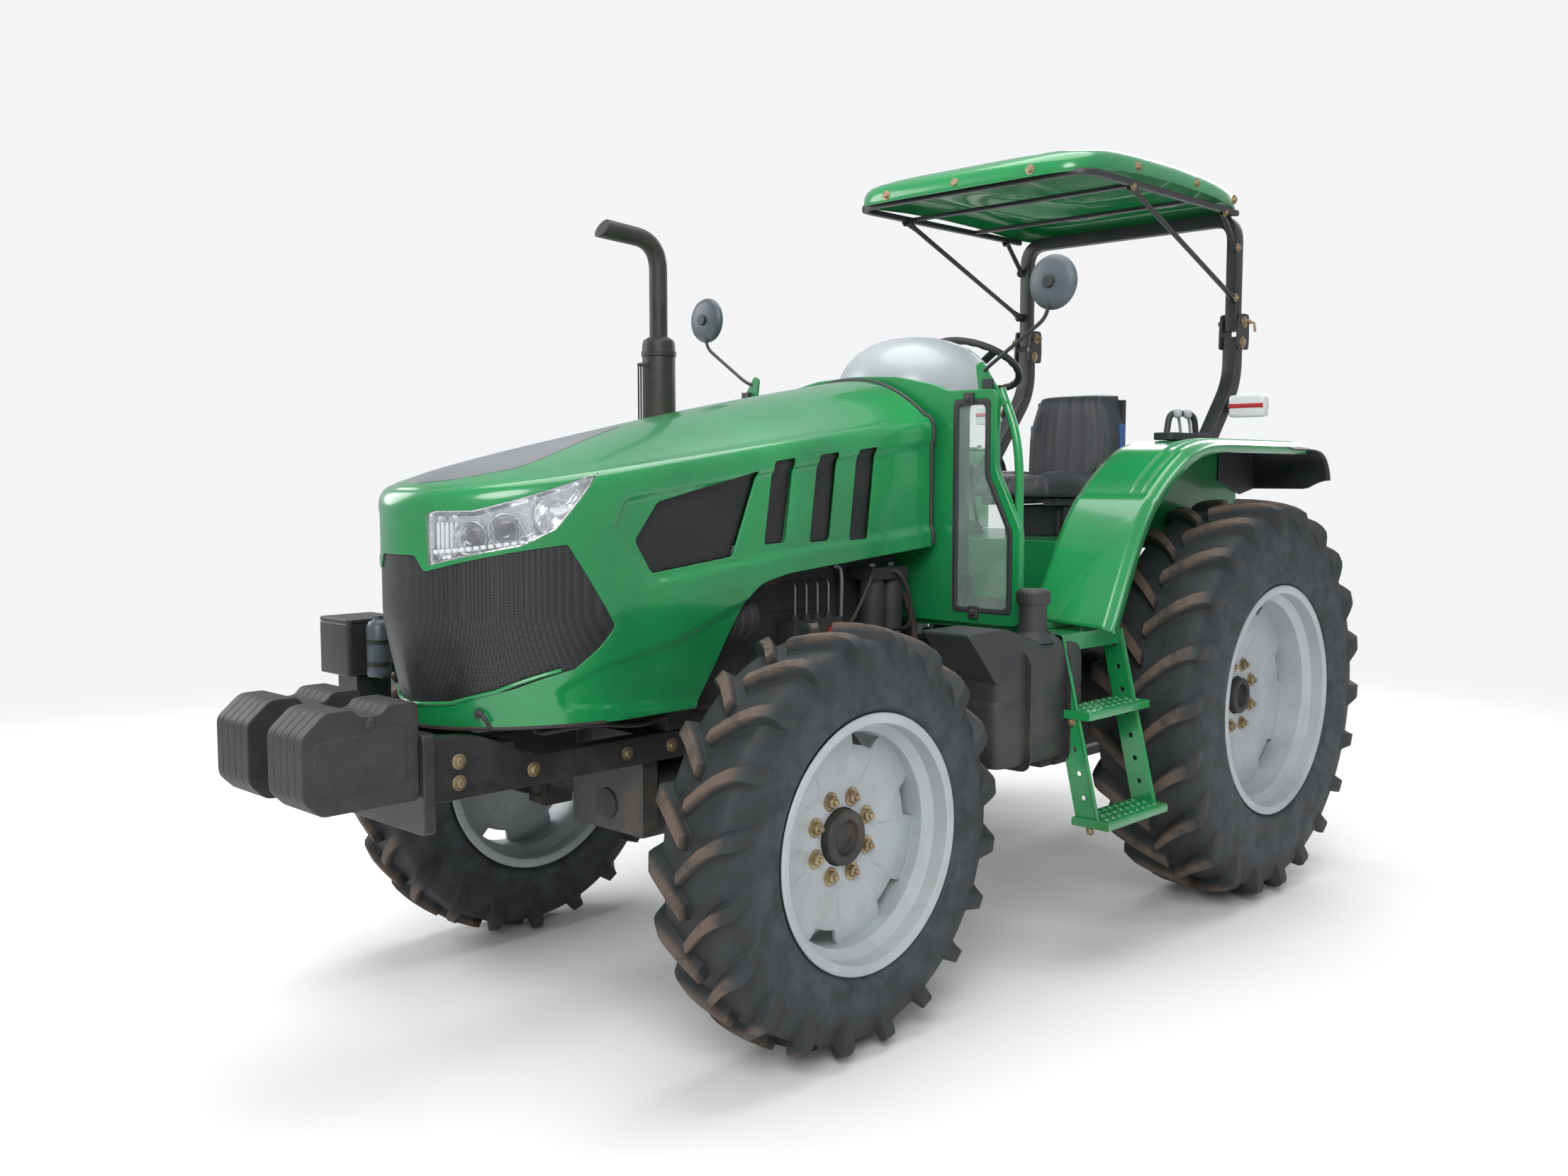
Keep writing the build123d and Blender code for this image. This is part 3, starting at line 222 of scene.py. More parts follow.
def carved(mesh, tool, operation="DIFFERENCE", thickness=0.0):
    """A mesh, given a wall if thickness is set, then cut by, or kept inside, a closed tool mesh."""
    body, cutter = linked("body", mesh), linked("cutter", tool)
    if thickness:
        wall = body.modifiers.new("wall", "SOLIDIFY")
        wall.thickness, wall.offset, wall.use_even_offset = thickness, -1, False
    cut = body.modifiers.new("cut", "BOOLEAN")
    cut.object, cut.operation, cut.solver = cutter, operation, "EXACT"
    result = settled(body)
    bpy.data.objects.remove(cutter)
    return result


def piece(name, mesh, body, material, replaces=(), angle=32, bevel=0.0, segments=2, wall=0.0):
    """Carry a mesh drawn from the rear axle to its place and finish it as a named piece on a body."""
    if isinstance(mesh, Form):
        mesh = mesh.mesh(name)
    mesh.transform(Matrix.Translation((0, AXLE_Y, 0)))
    obj = linked(name, mesh)
    mesh.shade_smooth()
    mesh.set_sharp_from_angle(angle=math.radians(angle))
    mesh.materials.clear()
    mesh.materials.append(material)
    if wall:
        mod = obj.modifiers.new("wall", "SOLIDIFY")
        mod.thickness, mod.offset = wall, -1
    if bevel:
        mod = obj.modifiers.new("edge", "BEVEL")
        mod.width, mod.segments, mod.limit_method = bevel, segments, "ANGLE"
        mod.angle_limit, mod.harden_normals = math.radians(angle), True
    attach(obj, body)
    if replaces:
        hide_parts(*replaces)
    return obj


# ------------------------------------------------------------ finishes
class Graph:
    """Small helper that adds and links the nodes of one material."""

    def __init__(self, name):
        self.material = bpy.data.materials.new(name)
        self.material.use_nodes = True
        self.tree = self.material.node_tree
        self.tree.nodes.clear()

    def node(self, kind, settings=None, **inputs):
        """New node; settings are its own properties, inputs are numbers or linked sockets."""
        node = self.tree.nodes.new("ShaderNode" + kind)
        for key, value in (settings or {}).items():
            setattr(node, key, value)
        for key, value in inputs.items():
            socket = node.inputs[int(key[1:])] if key[0] == "i" and key[1:].isdigit() \
                else node.inputs[key.replace("_", " ")]
            if isinstance(value, bpy.types.NodeSocket):
                self.tree.links.new(value, socket)
            else:
                socket.default_value = value
        return node

    def noise(self, coords, scale, detail=4.0, rough=0.55):
        """Factor of a noise texture."""
        return self.node("TexNoise", Vector=coords, Scale=scale, Detail=detail,
                         Roughness=rough).outputs["Fac"]

    def ramp(self, value, low, high, to_low=0.0, to_high=1.0):
        """Value carried from one range to another, held at its ends."""
        node = self.node("MapRange", {"interpolation_type": "SMOOTHSTEP"}, Value=value)
        for key, number in zip(("From Min", "From Max", "To Min", "To Max"), (low, high, to_low, to_high)):
            node.inputs[key].default_value = number
        return node.outputs["Result"]

    def math(self, operation, a, b=0.0):
        """Two numbers combined, kept between 0 and 1 where they are masks."""
        return self.node("Math", {"operation": operation}, i0=a, i1=b).outputs[0]

    def mix(self, factor, a, b):
        """Colour between a and b."""
        node = self.node("Mix", {"data_type": "RGBA"})
        for key, value in ((0, factor), (6, a), (7, b)):
            if isinstance(value, bpy.types.NodeSocket):
                self.tree.links.new(value, node.inputs[key])
            else:
                node.inputs[key].default_value = value if key == 0 else (*value[:3], 1.0)
        return node.outputs[2]

    def object_coords(self, centre=(0, 0, 0)):
        """Object coordinates counted from a centre."""
        place = self.node("TexCoord").outputs["Object"]
        shift = tuple(-c for c in centre)
        return self.node("Mapping", Vector=place, Location=shift).outputs["Vector"]

    def shader(self, **inputs):
        """Principled shader on the material's output."""
        bsdf = self.node("BsdfPrincipled", **inputs)
        out = self.node("OutputMaterial")
        self.tree.links.new(bsdf.outputs[0], out.inputs["Surface"])
        return bsdf


DUST = (0.20, 0.155, 0.115)


def finish(name, colour, other, rough=(0.3, 0.45), metal=0.0, coat=0.0, grain=(180.0, 0.0006), blotch=2.2,
           dirt=0.35, dirt_top=1.1, dirt_colour=DUST, wear_and_highlight=0.25, wear_and_highlight_colour=(0.5, 0.5, 0.5), soft=0.0025,
           alpha=1.0, sheen=0.0):
    """Surface with blotchy colour, fine grain, dust that thins with height, and softened edges in a second
    colour: worn edges, and on the green paint a painted highlight.
    """
    g = Graph(name)
    place = g.object_coords()
    broad = g.noise(place, blotch, 5.0)
    fine = g.noise(place, grain[0], 3.0)
    base = g.mix(g.ramp(broad, 0.3, 0.7), colour, other)
    height = g.node("SeparateXYZ", Vector=place).outputs["Z"]
    low = g.ramp(height, 0.15, dirt_top, dirt, dirt * 0.12)
    patches = g.ramp(g.noise(place, 6.5, 7.0, 0.65), 0.38, 0.72)
    dusty = g.math("MULTIPLY", low, patches)
    base = g.mix(dusty, base, dirt_colour)
    round_edge = g.node("Bevel", {"samples": 4}, Radius=soft * 1.6).outputs["Normal"]
    flat = g.node("NewGeometry").outputs["Normal"]
    dot = g.node("VectorMath", {"operation": "DOT_PRODUCT"}, i0=round_edge, i1=flat).outputs["Value"]
    # Edge colour: wear on most finishes; on the green paint a lighter mint, which is a painted highlight
    # along rounded edges.
    edge = g.ramp(dot, 0.995, 0.86, 0.0, wear_and_highlight)
    edge = g.math("MULTIPLY", edge, g.ramp(g.noise(place, 38.0, 5.0, 0.7), 0.42, 0.62))
    base = g.mix(edge, base, wear_and_highlight_colour)
    bump = g.node("Bump", Height=fine, Distance=grain[1], Strength=0.6, Normal=round_edge).outputs["Normal"]
    roughness = g.math("ADD", g.ramp(broad, 0.25, 0.75, *rough), g.math("MULTIPLY", dusty, 0.35))
    bsdf = g.shader(Base_Color=base, Roughness=roughness, Metallic=metal, Normal=bump, Alpha=alpha)
    bsdf.inputs["Coat Weight"].default_value = coat
    bsdf.inputs["Coat Roughness"].default_value = 0.08
    bsdf.inputs["Sheen Weight"].default_value = sheen
    return g.material


def tyre_rubber(name, centre, floor_r, tip_r):
    """Dark rubber: soil on the lugs' outer faces by distance from the axle, dust on the flanks."""
    g = Graph(name)
    place = g.object_coords((0, centre[1], centre[2]))
    parts = g.node("SeparateXYZ", Vector=place)
    flat = g.node("CombineXYZ", X=0.0, Y=parts.outputs["Y"], Z=parts.outputs["Z"]).outputs[0]
    reach = g.node("VectorMath", {"operation": "LENGTH"}, i0=flat).outputs["Value"]
    broad = g.noise(place, 7.0, 6.0, 0.6)
    fine = g.noise(place, 240.0, 3.0)
    base = g.mix(g.ramp(broad, 0.3, 0.7), (0.016, 0.018, 0.019), (0.030, 0.033, 0.035))
    flank = g.ramp(reach, floor_r - 0.16, floor_r - 0.05, 0.55, 0.15)
    base = g.mix(g.math("MULTIPLY", flank, g.ramp(g.noise(place, 13.0, 6.0, 0.62), 0.3, 0.7)), base,
                 (0.075, 0.085, 0.092))
    soil = g.math("MULTIPLY", g.ramp(reach, floor_r + 0.25 * (tip_r - floor_r), tip_r - 0.006),
                  g.ramp(g.noise(place, 9.0, 8.0, 0.7), 0.30, 0.58))
    base = g.mix(soil, base, (0.125, 0.088, 0.066))
    crumbs = g.math("MULTIPLY", soil, g.noise(place, 70.0, 4.0, 0.7))
    height = g.math("ADD", g.math("MULTIPLY", fine, 0.3), crumbs)
    soft = g.node("Bevel", {"samples": 4}, Radius=0.004).outputs["Normal"]
    bump = g.node("Bump", Height=height, Distance=0.0025, Strength=0.7, Normal=soft).outputs["Normal"]
    bsdf = g.shader(Base_Color=base, Roughness=g.ramp(broad, 0.2, 0.8, 0.55, 0.78), Normal=bump)
    bsdf.inputs["Specular IOR Level"].default_value = 0.4
    return g.material


def clear_plate(name, colour, alpha=0.16, rough=0.04):
    """Clear plate: faint tint, smudges in the gloss, see-through by its alpha."""
    g = Graph(name)
    place = g.object_coords()
    smudge = g.ramp(g.noise(place, 9.0, 6.0, 0.6), 0.42, 0.7)
    base = g.mix(smudge, colour, tuple(0.85 * c + 0.1 for c in colour))
    rough_map = g.math("ADD", rough, g.math("MULTIPLY", smudge, 0.1))
    veil = g.math("ADD", alpha, g.math("MULTIPLY", smudge, 0.07))
    g.shader(Base_Color=base, Roughness=rough_map, Alpha=veil)
    return g.material


def wire_mesh(name, pitch=0.0075):
    """Fine black mesh: rows of round holes in two directions, sunk and painted near-black as painted shade of
    the space behind them, over Object coordinates.
    """
    g = Graph(name)
    place = g.object_coords()
    cells = g.node("TexVoronoi", {"feature": "F1"}, Vector=place, Scale=1.0 / pitch,
                   Randomness=0.0).outputs["Distance"]
    hole = g.ramp(cells, 0.42, 0.30)
    dust = g.ramp(g.noise(place, 5.0, 6.0, 0.6), 0.45, 0.75, 0.0, 0.35)
    rim = g.mix(dust, (0.020, 0.021, 0.022), (0.07, 0.062, 0.055))
    # The holes are painted near-black: painted shade standing in for the dark space seen through the mesh.
    base = g.mix(hole, rim, (0.003, 0.003, 0.003))
    bump = g.node("Bump", Height=g.math("SUBTRACT", 1.0, hole), Distance=0.002,
                  Strength=0.8).outputs["Normal"]
    g.shader(Base_Color=base, Roughness=g.ramp(dust, 0.0, 0.35, 0.42, 0.75), Normal=bump)
    return g.material


def make_finishes(colours):
    """All finishes of the tractor, by plain name."""
    green, shade = tuple(colours.paint), tuple(0.72 * c for c in colours.paint)
    wheel_f, wheel_r = JOINTS["front_left_spin"]["pos_m"], JOINTS["rear_left_spin"]["pos_m"]
    return {
        # The lighter mint edge colour here is a painted highlight along rounded edges, not wear.
        "green": finish("green_gloss_paint", green, shade, (0.20, 0.32), coat=0.6, grain=(420.0, 0.0002),
                        dirt=0.30,
                        wear_and_highlight=0.2, wear_and_highlight_colour=(0.30, 0.62, 0.42), soft=0.003),
        "black": finish("black_frame_paint", (0.014, 0.015, 0.016), (0.026, 0.027, 0.028), (0.32, 0.5),
                        dirt=0.5,
                        wear_and_highlight=0.4, wear_and_highlight_colour=(0.20, 0.18, 0.16), grain=(260.0, 0.0004)),
        "cast": finish("cast_iron_black", (0.013, 0.014, 0.015), (0.03, 0.03, 0.03), (0.5, 0.72), dirt=0.55,
                       wear_and_highlight=0.3, wear_and_highlight_colour=(0.16, 0.14, 0.12), grain=(120.0, 0.0014), soft=0.004),
        "silver": finish("silver_wheel_paint", (0.46, 0.49, 0.50), (0.36, 0.39, 0.40), (0.32, 0.48),
                         metal=0.15,
                         dirt=0.28, wear_and_highlight=0.3, wear_and_highlight_colour=(0.75, 0.77, 0.78), grain=(300.0, 0.0003)),
        "plastic": finish("black_moulded_plastic", (0.018, 0.020, 0.022), (0.032, 0.035, 0.038), (0.42, 0.6),
                          dirt=0.5,
                          wear_and_highlight=0.35, wear_and_highlight_colour=(0.12, 0.12, 0.12), grain=(320.0, 0.0007), soft=0.005),
        "grey": finish("grey_moulded_plastic", (0.40, 0.44, 0.45), (0.32, 0.36, 0.38), (0.28, 0.42),
                       dirt=0.12,
                       wear_and_highlight=0.1, grain=(500.0, 0.0002), coat=0.2),
        "insert": finish("grey_bonnet_insert", (0.19, 0.20, 0.215), (0.14, 0.15, 0.16), (0.30, 0.42),
                         coat=0.3,
                         dirt=0.1, wear_and_highlight=0.1, grain=(500.0, 0.0002)),
        "vinyl": finish("seat_vinyl", (0.030, 0.032, 0.038), (0.055, 0.058, 0.066), (0.42, 0.58), dirt=0.15,
                        wear_and_highlight=0.2, wear_and_highlight_colour=(0.13, 0.13, 0.14), grain=(650.0, 0.0008), soft=0.004,
                        sheen=0.1),
        "steel": finish("bright_steel", (0.45, 0.45, 0.45), (0.30, 0.29, 0.28), (0.25, 0.42), metal=0.9,
                        dirt=0.3,
                        wear_and_highlight=0.2, grain=(200.0, 0.0004)),
        "zinc": finish("yellow_zinc", (0.42, 0.34, 0.20), (0.25, 0.17, 0.10), (0.3, 0.5), metal=0.75,
                       dirt=0.25,
                       wear_and_highlight=0.2, grain=(400.0, 0.0003), blotch=30.0),
        "marker": finish("white_marker_lens", (0.78, 0.79, 0.80), (0.68, 0.69, 0.70), (0.15, 0.25), coat=0.5,
                         dirt=0.1,
                         wear_and_highlight=0.0, grain=(90.0, 0.0006)),
        "red": finish("red_plastic", (0.55, 0.02, 0.03), (0.42, 0.015, 0.02), (0.25, 0.4), coat=0.3,
                      dirt=0.1, wear_and_highlight=0.1),
        "chrome": finish("lamp_reflector", (0.80, 0.81, 0.83), (0.55, 0.56, 0.58), (0.06, 0.2), metal=0.95,
                         dirt=0.0,
                         wear_and_highlight=0.0, grain=(60.0, 0.004), blotch=18.0),
        "gloss": finish("black_gloss_plastic", (0.012, 0.013, 0.015), (0.022, 0.024, 0.027), (0.12, 0.24),
                        coat=0.5, dirt=0.1,
                        wear_and_highlight=0.1, grain=(500.0, 0.0002)),
        "rubber": finish("brown_black_rubber", (0.020, 0.018, 0.017), (0.045, 0.036, 0.030), (0.55, 0.75),
                         dirt=0.6,
                         wear_and_highlight=0.2, wear_and_highlight_colour=(0.12, 0.10, 0.08), grain=(150.0, 0.0010), soft=0.004),
        "slate": finish("slate_plastic", (0.060, 0.078, 0.092), (0.085, 0.105, 0.120), (0.35, 0.5),
                        dirt=0.25, wear_and_highlight=0.2,
                        grain=(320.0, 0.0005)),
        "sooty": finish("heat_dulled_black", (0.020, 0.019, 0.018), (0.045, 0.040, 0.036), (0.45, 0.62),
                        metal=0.2, dirt=0.25,
                        wear_and_highlight=0.3, wear_and_highlight_colour=(0.14, 0.09, 0.06), grain=(160.0, 0.0008), blotch=6.0),
        "blue": finish("blue_vinyl", (0.03, 0.10, 0.30), (0.04, 0.13, 0.36), (0.4, 0.55), dirt=0.15,
                       wear_and_highlight=0.15, grain=(650.0, 0.0006)),
        "mesh": wire_mesh("black_wire_mesh"),
        "screen": clear_plate("clear_side_screen", (0.42, 0.55, 0.50), 0.2),
        "lens": clear_plate("clear_lamp_lens", (0.86, 0.88, 0.90), 0.06),
        "tyre_front": tyre_rubber("front_tyre_rubber", wheel_f, 0.592, 0.630),
        "tyre_rear": tyre_rubber("rear_tyre_rubber", wheel_r, 0.751, 0.795),
    }


NODE_FINISH = {
    "canopy_shell": "green", "controls": "plastic", "cowl": "green", "engine_block": "cast",
               "exhaust": "black",
    "fender_flaps": "plastic", "fenders": "green", "front_axle_beam": "cast", "front_frame": "black",
    "front_weights": "cast", "fuel_tank": "plastic", "headlamps": "lens", "hood_mesh": "mesh",
               "hood_shell": "green",
    "hood_insert": "insert", "grille_mesh": "mesh", "engine_parts": "cast", "instrument_dome": "grey",
               "knuckle_left": "cast", "knuckle_right": "cast",
    "lift_arms": "black", "lift_rods": "black", "lower_links": "black", "mirrors": "plastic",
               "platform": "green",
    "pto_shaft": "steel", "rear_axle_housing": "cast", "rear_lamps": "marker", "rops_lower": "black",
    "rops_upper": "black", "seat_back": "vinyl", "seat_cushion": "vinyl", "seat_frame": "black",
    "shield_frames": "plastic", "shield_glass": "screen", "steering_column": "plastic",
               "steering_rod": "steel",
    "steering_wheel": "plastic", "transmission_housing": "cast",
}


# ------------------------------------------------------------ wheels
WHEELS = {
    # radius, tyre width, bead seat, rim width, lug height, lugs a side, lug width,
    # disc offset, hole, bolt circle
    "front": (0.630, 0.315, 0.3556, 0.279, 0.038, 20, 0.046, 0.012, 0.086, 0.120),
    "rear": (0.795, 0.430, 0.4318, 0.381, 0.044, 22, 0.056, 0.010, 0.076, 0.130),
}


def tyre_form(radius, width, seat, rim, lug, lugs, lug_w, centre, side):
    """Carcass: a rounded section turned about the axle. Lug: a section that narrows to its top, carried
    along a bent path from the middle over the shoulder."""
    half, base, r2 = width / 2, radius - lug, rim / 2
    mid = seat + 0.52 * (base - seat)
    flank = [(r2 - 0.006, seat + 0.002), (r2 - 0.005, seat + 0.022), (r2 + 0.004, seat + 0.034),
             (r2 + 0.014, seat + 0.048),
             (half - 0.008, mid - 0.030), (half - 0.005, mid + 0.020), (half - 0.016, base - 0.060),
             (half - 0.040, base - 0.020), (half * 0.55, base - 0.006), (0.0, base)]
    out = smooth_curve(flank, 40)
    section = np.vstack([out, (out * (-1, 1))[-2::-1]])
    form = Form().turned(np.vstack([section, section[:1]]), centre, steps=160)
    t = np.linspace(0, 1, 9)
    top = smooth_curve([(-0.004, radius), (half * 0.35, radius - 0.002), (half * 0.72, radius - 0.012),
                        (half - 0.010, radius - 0.032), (half + 0.0, base - 0.025),
                        (half - 0.004, base - 0.085)], 9)
    foot = smooth_curve([(-0.004, base - 0.010), (half * 0.35, base - 0.012), (half * 0.70, base - 0.020),
                         (half - 0.050, base - 0.040), (half - 0.030, base - 0.070),
                         (half - 0.012, base - 0.100)], 9)
    share = np.clip(top[:, 0] / half, 0, 1)
    swing = width * 0.36 * (1 - (1 - share) ** 1.7) + 0.10 * width * np.clip(t - 0.75, 0, 1)
    half_top = lug_w * (0.36 + 0.16 * share)
    rows = []
    for depth, spread in ((0.0, 1.45), (0.82, 1.02), (1.0, 0.88)):
        line = foot + (top - foot) * depth
        rows.append((line, -half_top * spread))
        rows.append((line, half_top * spread))
    order = [0, 2, 4, 5, 3, 1]
    line = np.stack([rows[k][0] for k in order], 1)
    off = np.stack([rows[k][1] for k in order], 1) + swing[:, None]
    angle = off / line[:, :, 1]
    for hand in (1, -1):
        for k in range(lugs):
            turn = angle + TAU * (k + (0.0 if hand == side else 0.5)) / lugs
            points = np.stack([hand * line[:, :, 0], line[:, :, 1] * np.sin(turn),
                               line[:, :, 1] * np.cos(turn)], -1)
            form.tube(points + centre)
    return form


def rim_form(seat, rim, disc, hole, centre, side):
    """Barrel: a drop-centre section turned about the axle. Disc: a dished ring whose
    rim radius dips at six slots."""
    half, flange, lip, drop, wall = rim / 2, 0.025, 0.008, 0.032, 0.007
    outer = [(-half - lip, seat + flange - 0.004), (-half - lip + 0.003, seat + flange),
             (-half - 0.001, seat + flange),
             (-half, seat + 0.004), (-half + 0.006, seat), (-half + 0.050, seat - 0.003),
             (-half + 0.075, seat - drop),
             (half - 0.075, seat - drop), (half - 0.050, seat - 0.003), (half - 0.006, seat),
             (half, seat + 0.004),
             (half + 0.001, seat + flange), (half + lip - 0.003, seat + flange),
             (half + lip, seat + flange - 0.004)]
    inner = [(half + lip, seat + 0.004), (half + 0.004, seat - wall), (half - 0.046, seat - wall - 0.003),
             (half - 0.071, seat - drop - wall), (-half + 0.071, seat - drop - wall),
             (-half + 0.046, seat - wall - 0.003), (-half - 0.004, seat - wall), (-half - lip, seat + 0.004)]
    section = np.array(outer + inner + outer[:1])
    form = Form().turned(section, centre, steps=96)
    turn = np.linspace(0, TAU, 180, endpoint=False)
    edge = seat - drop - wall + 0.001
    dip = 0.045 * np.clip((np.cos(6 * (turn - math.radians(17))) - 0.35) / 0.25, 0, 1)
    edge = edge - dip
    mid, t = disc, 0.007
    part = np.array([0.0, 0.12, 0.42, 0.55, 0.80, 1.0])
    rise = np.array([0.0, 0.0, 0.0, 0.010, 0.016, 0.012]) * side
    radii = hole + (edge[:, None] - hole) * part
    face = np.stack([np.broadcast_to(side * (mid + t) + rise, radii.shape), radii], -1)
    back = np.stack([np.broadcast_to(side * (mid - t) + rise, radii.shape), radii], -1)[:, ::-1]
    loop = np.concatenate([face, back, face[:, :1]], 1)
    points = np.stack([loop[:, :, 0], loop[:, :, 1] * np.sin(turn)[:, None],
                       loop[:, :, 1] * np.cos(turn)[:, None]], -1)
    return form.grid(points + centre, wrap_rows=True)


def nut_form(centre, x, circle, count, side, size=0.019):
    """Hexagon nuts with washers and stud ends, set round a circle."""
    form = Form()
    for k in range(count):
        a = TAU * (k + 0.5) / count
        spot = np.array(centre) + (x, circle * math.sin(a), circle * math.cos(a))
        out = (side, 0, 0)
        form.turned([(0, 0), (0, size * 1.5), (0.003, size * 1.5), (0.003, 0)], spot, out, 20)
        form.turned([(0.003, 0), (0.003, size), (0.016, size), (0.019, size * 0.8), (0.019, 0)], spot, out, 6)
        form.turned([(0.019, 0), (0.019, size * 0.5), (0.028, size * 0.5), (0.030, size * 0.4), (0.030, 0)],
                    spot, out, 12)
    return form


def build_wheels(mats):
    """Tyres, rims with slotted discs, hubs and nuts on all four wheels."""
    for end in ("front", "rear"):
        radius, width, seat, rim, lug, lugs, lug_w, disc, hole, circle = WHEELS[end]
        for hand, side in (("left", 1), ("right", -1)):
            body = f"wheel_{end}_{hand}"
            centre = np.array(JOINTS[f"{end}_{hand}_spin"]["pos_m"]) - (0, AXLE_Y, 0)
            tyre = tyre_form(radius, width, seat, rim, lug, lugs, lug_w, centre, side)
            piece(f"lugged_tyre_{end}_{hand}", tyre, body, mats[f"tyre_{end}"],
                  [f"tyre_{end}_{hand}"], angle=38)
            piece(f"wheel_rim_{end}_{hand}", rim_form(seat, rim, disc, hole, centre, side), body,
                  mats["silver"], [f"rim_{end}_{hand}"], bevel=0.0015)
            face = side * (disc + 0.007)
            piece(f"wheel_nuts_{end}_{hand}", nut_form(centre, face, circle, 8, side), body,
                  mats["zinc"], angle=25)
            hub = Form().turned([(-0.11, 0.0), (-0.11, hole + 0.03), (-0.012, hole + 0.03),
                                 (-0.012, hole - 0.002),
                                 (0.030, hole - 0.004), (0.034, hole - 0.010), (0.034, hole * 0.62),
                                 (0.012, hole * 0.56), (0.012, 0.0)],
                                centre + (side * disc, 0, 0), (side, 0, 0), 48)
            piece(f"wheel_hub_{end}_{hand}", hub, body, mats["cast"], bevel=0.002)


# ------------------------------------------------------------ bonnet
NOSE, REAR, HALF_W, NOSE_REACH = -3.258, -1.340, 0.400, 0.520
CHIN_Z, LIP_IN, LIP_UP, LIP_LOW = 0.975, 0.036, 0.050, 0.052
ARCH = [(-1.28, 1.436), (-2.080, 1.372), (-2.205, 1.346), (-2.272, 1.298), (-2.330, 1.205), (-2.385, 1.098),
        (-2.452, 0.975), (-2.49, 0.90), (-1.28, 0.90)]
VENT = [(-2.715, 1.497), (-2.628, 1.608), (-2.212, 1.700), (-2.322, 1.436), (-2.652, 1.400)]
GRILLE_FACE = [(0, 1.466), (0.082, 1.466), (0.112, 1.420), (0.45, 1.517), (0.45, 1.21), (0.37, 1.150),
               (0.27, 1.090),
               (0.16, 1.056), (0, 1.045)]
GRILLE_SIDE = [(-3.5, 0.99), (-3.5, 1.56), (-2.958, 1.528), (-2.790, 1.256), (-2.835, 1.200), (-2.92, 1.130),
               (-3.06, 1.03)]
LAMP_FACE = [(0.122, 1.580), (0.122, 1.436), (0.45, 1.530), (0.45, 1.71)]
LAMP_SIDE = [(-3.5, 1.40), (-3.5, 1.585), (-3.160, 1.590), (-2.838, 1.694), (-2.968, 1.536), (-3.20, 1.42)]
INSERT = [(0, -3.200), (0.115, -3.150), (0.205, -2.980), (0.150, -2.800), (0, -2.420), (-0.150, -2.800),
          (-0.205, -2.980),
          (-0.115, -3.150)]


def seam_height(y):
    """Height of the shoulder line: it rises steadily from the nose to the rear."""
    return 1.645 + 0.131 * (y - NOSE)


def crown_height(y):
    """Height of the middle line of the top: a slightly bowed rise from the nose to the rear."""
    run = np.clip((y - NOSE) / (REAR - NOSE), 0, 1)
    return 1.655 + 0.2 * (y - NOSE) + 0.026 * np.sin(math.pi * run)


def eased(t):
    """Smooth step from 0 to 1."""
    t = np.clip(t, 0, 1)
    return t * t * (3 - 2 * t)


def side_relief(y, z):
    """How far the side lies in at (y, z): a window panel sunk behind a slanted edge and a ledge,
    and a low crease."""
    ledge = z - np.interp(y, [-3.0, -2.648, -2.026, -1.34], [1.60, 1.367, 1.437, 1.487])
    front = (y + 2.80) - np.where(z > 1.535, (z - 1.535) * 0.5, (1.535 - z) * 0.905)
    top = seam_height(y) - 0.085 - z
    sunk = 0.010 * eased(ledge / 0.014) * eased(front / 0.016) * eased(top / 0.02)
    low = z - np.interp(y, [-3.1, -2.96, -2.82, -2.564, -2.19, -1.3], [1.02, 1.086, 1.149, 1.193, 1.33, 1.40])
    high = z - np.interp(y, [-3.1, -2.97, -2.935, -2.552, -2.3], [1.06, 1.086, 1.027, 0.990, 0.98])
    pocket = 0.008 * eased(high / 0.012) * eased(-low / 0.016) * eased((y + 2.97) / 0.03)
    return sunk + pocket


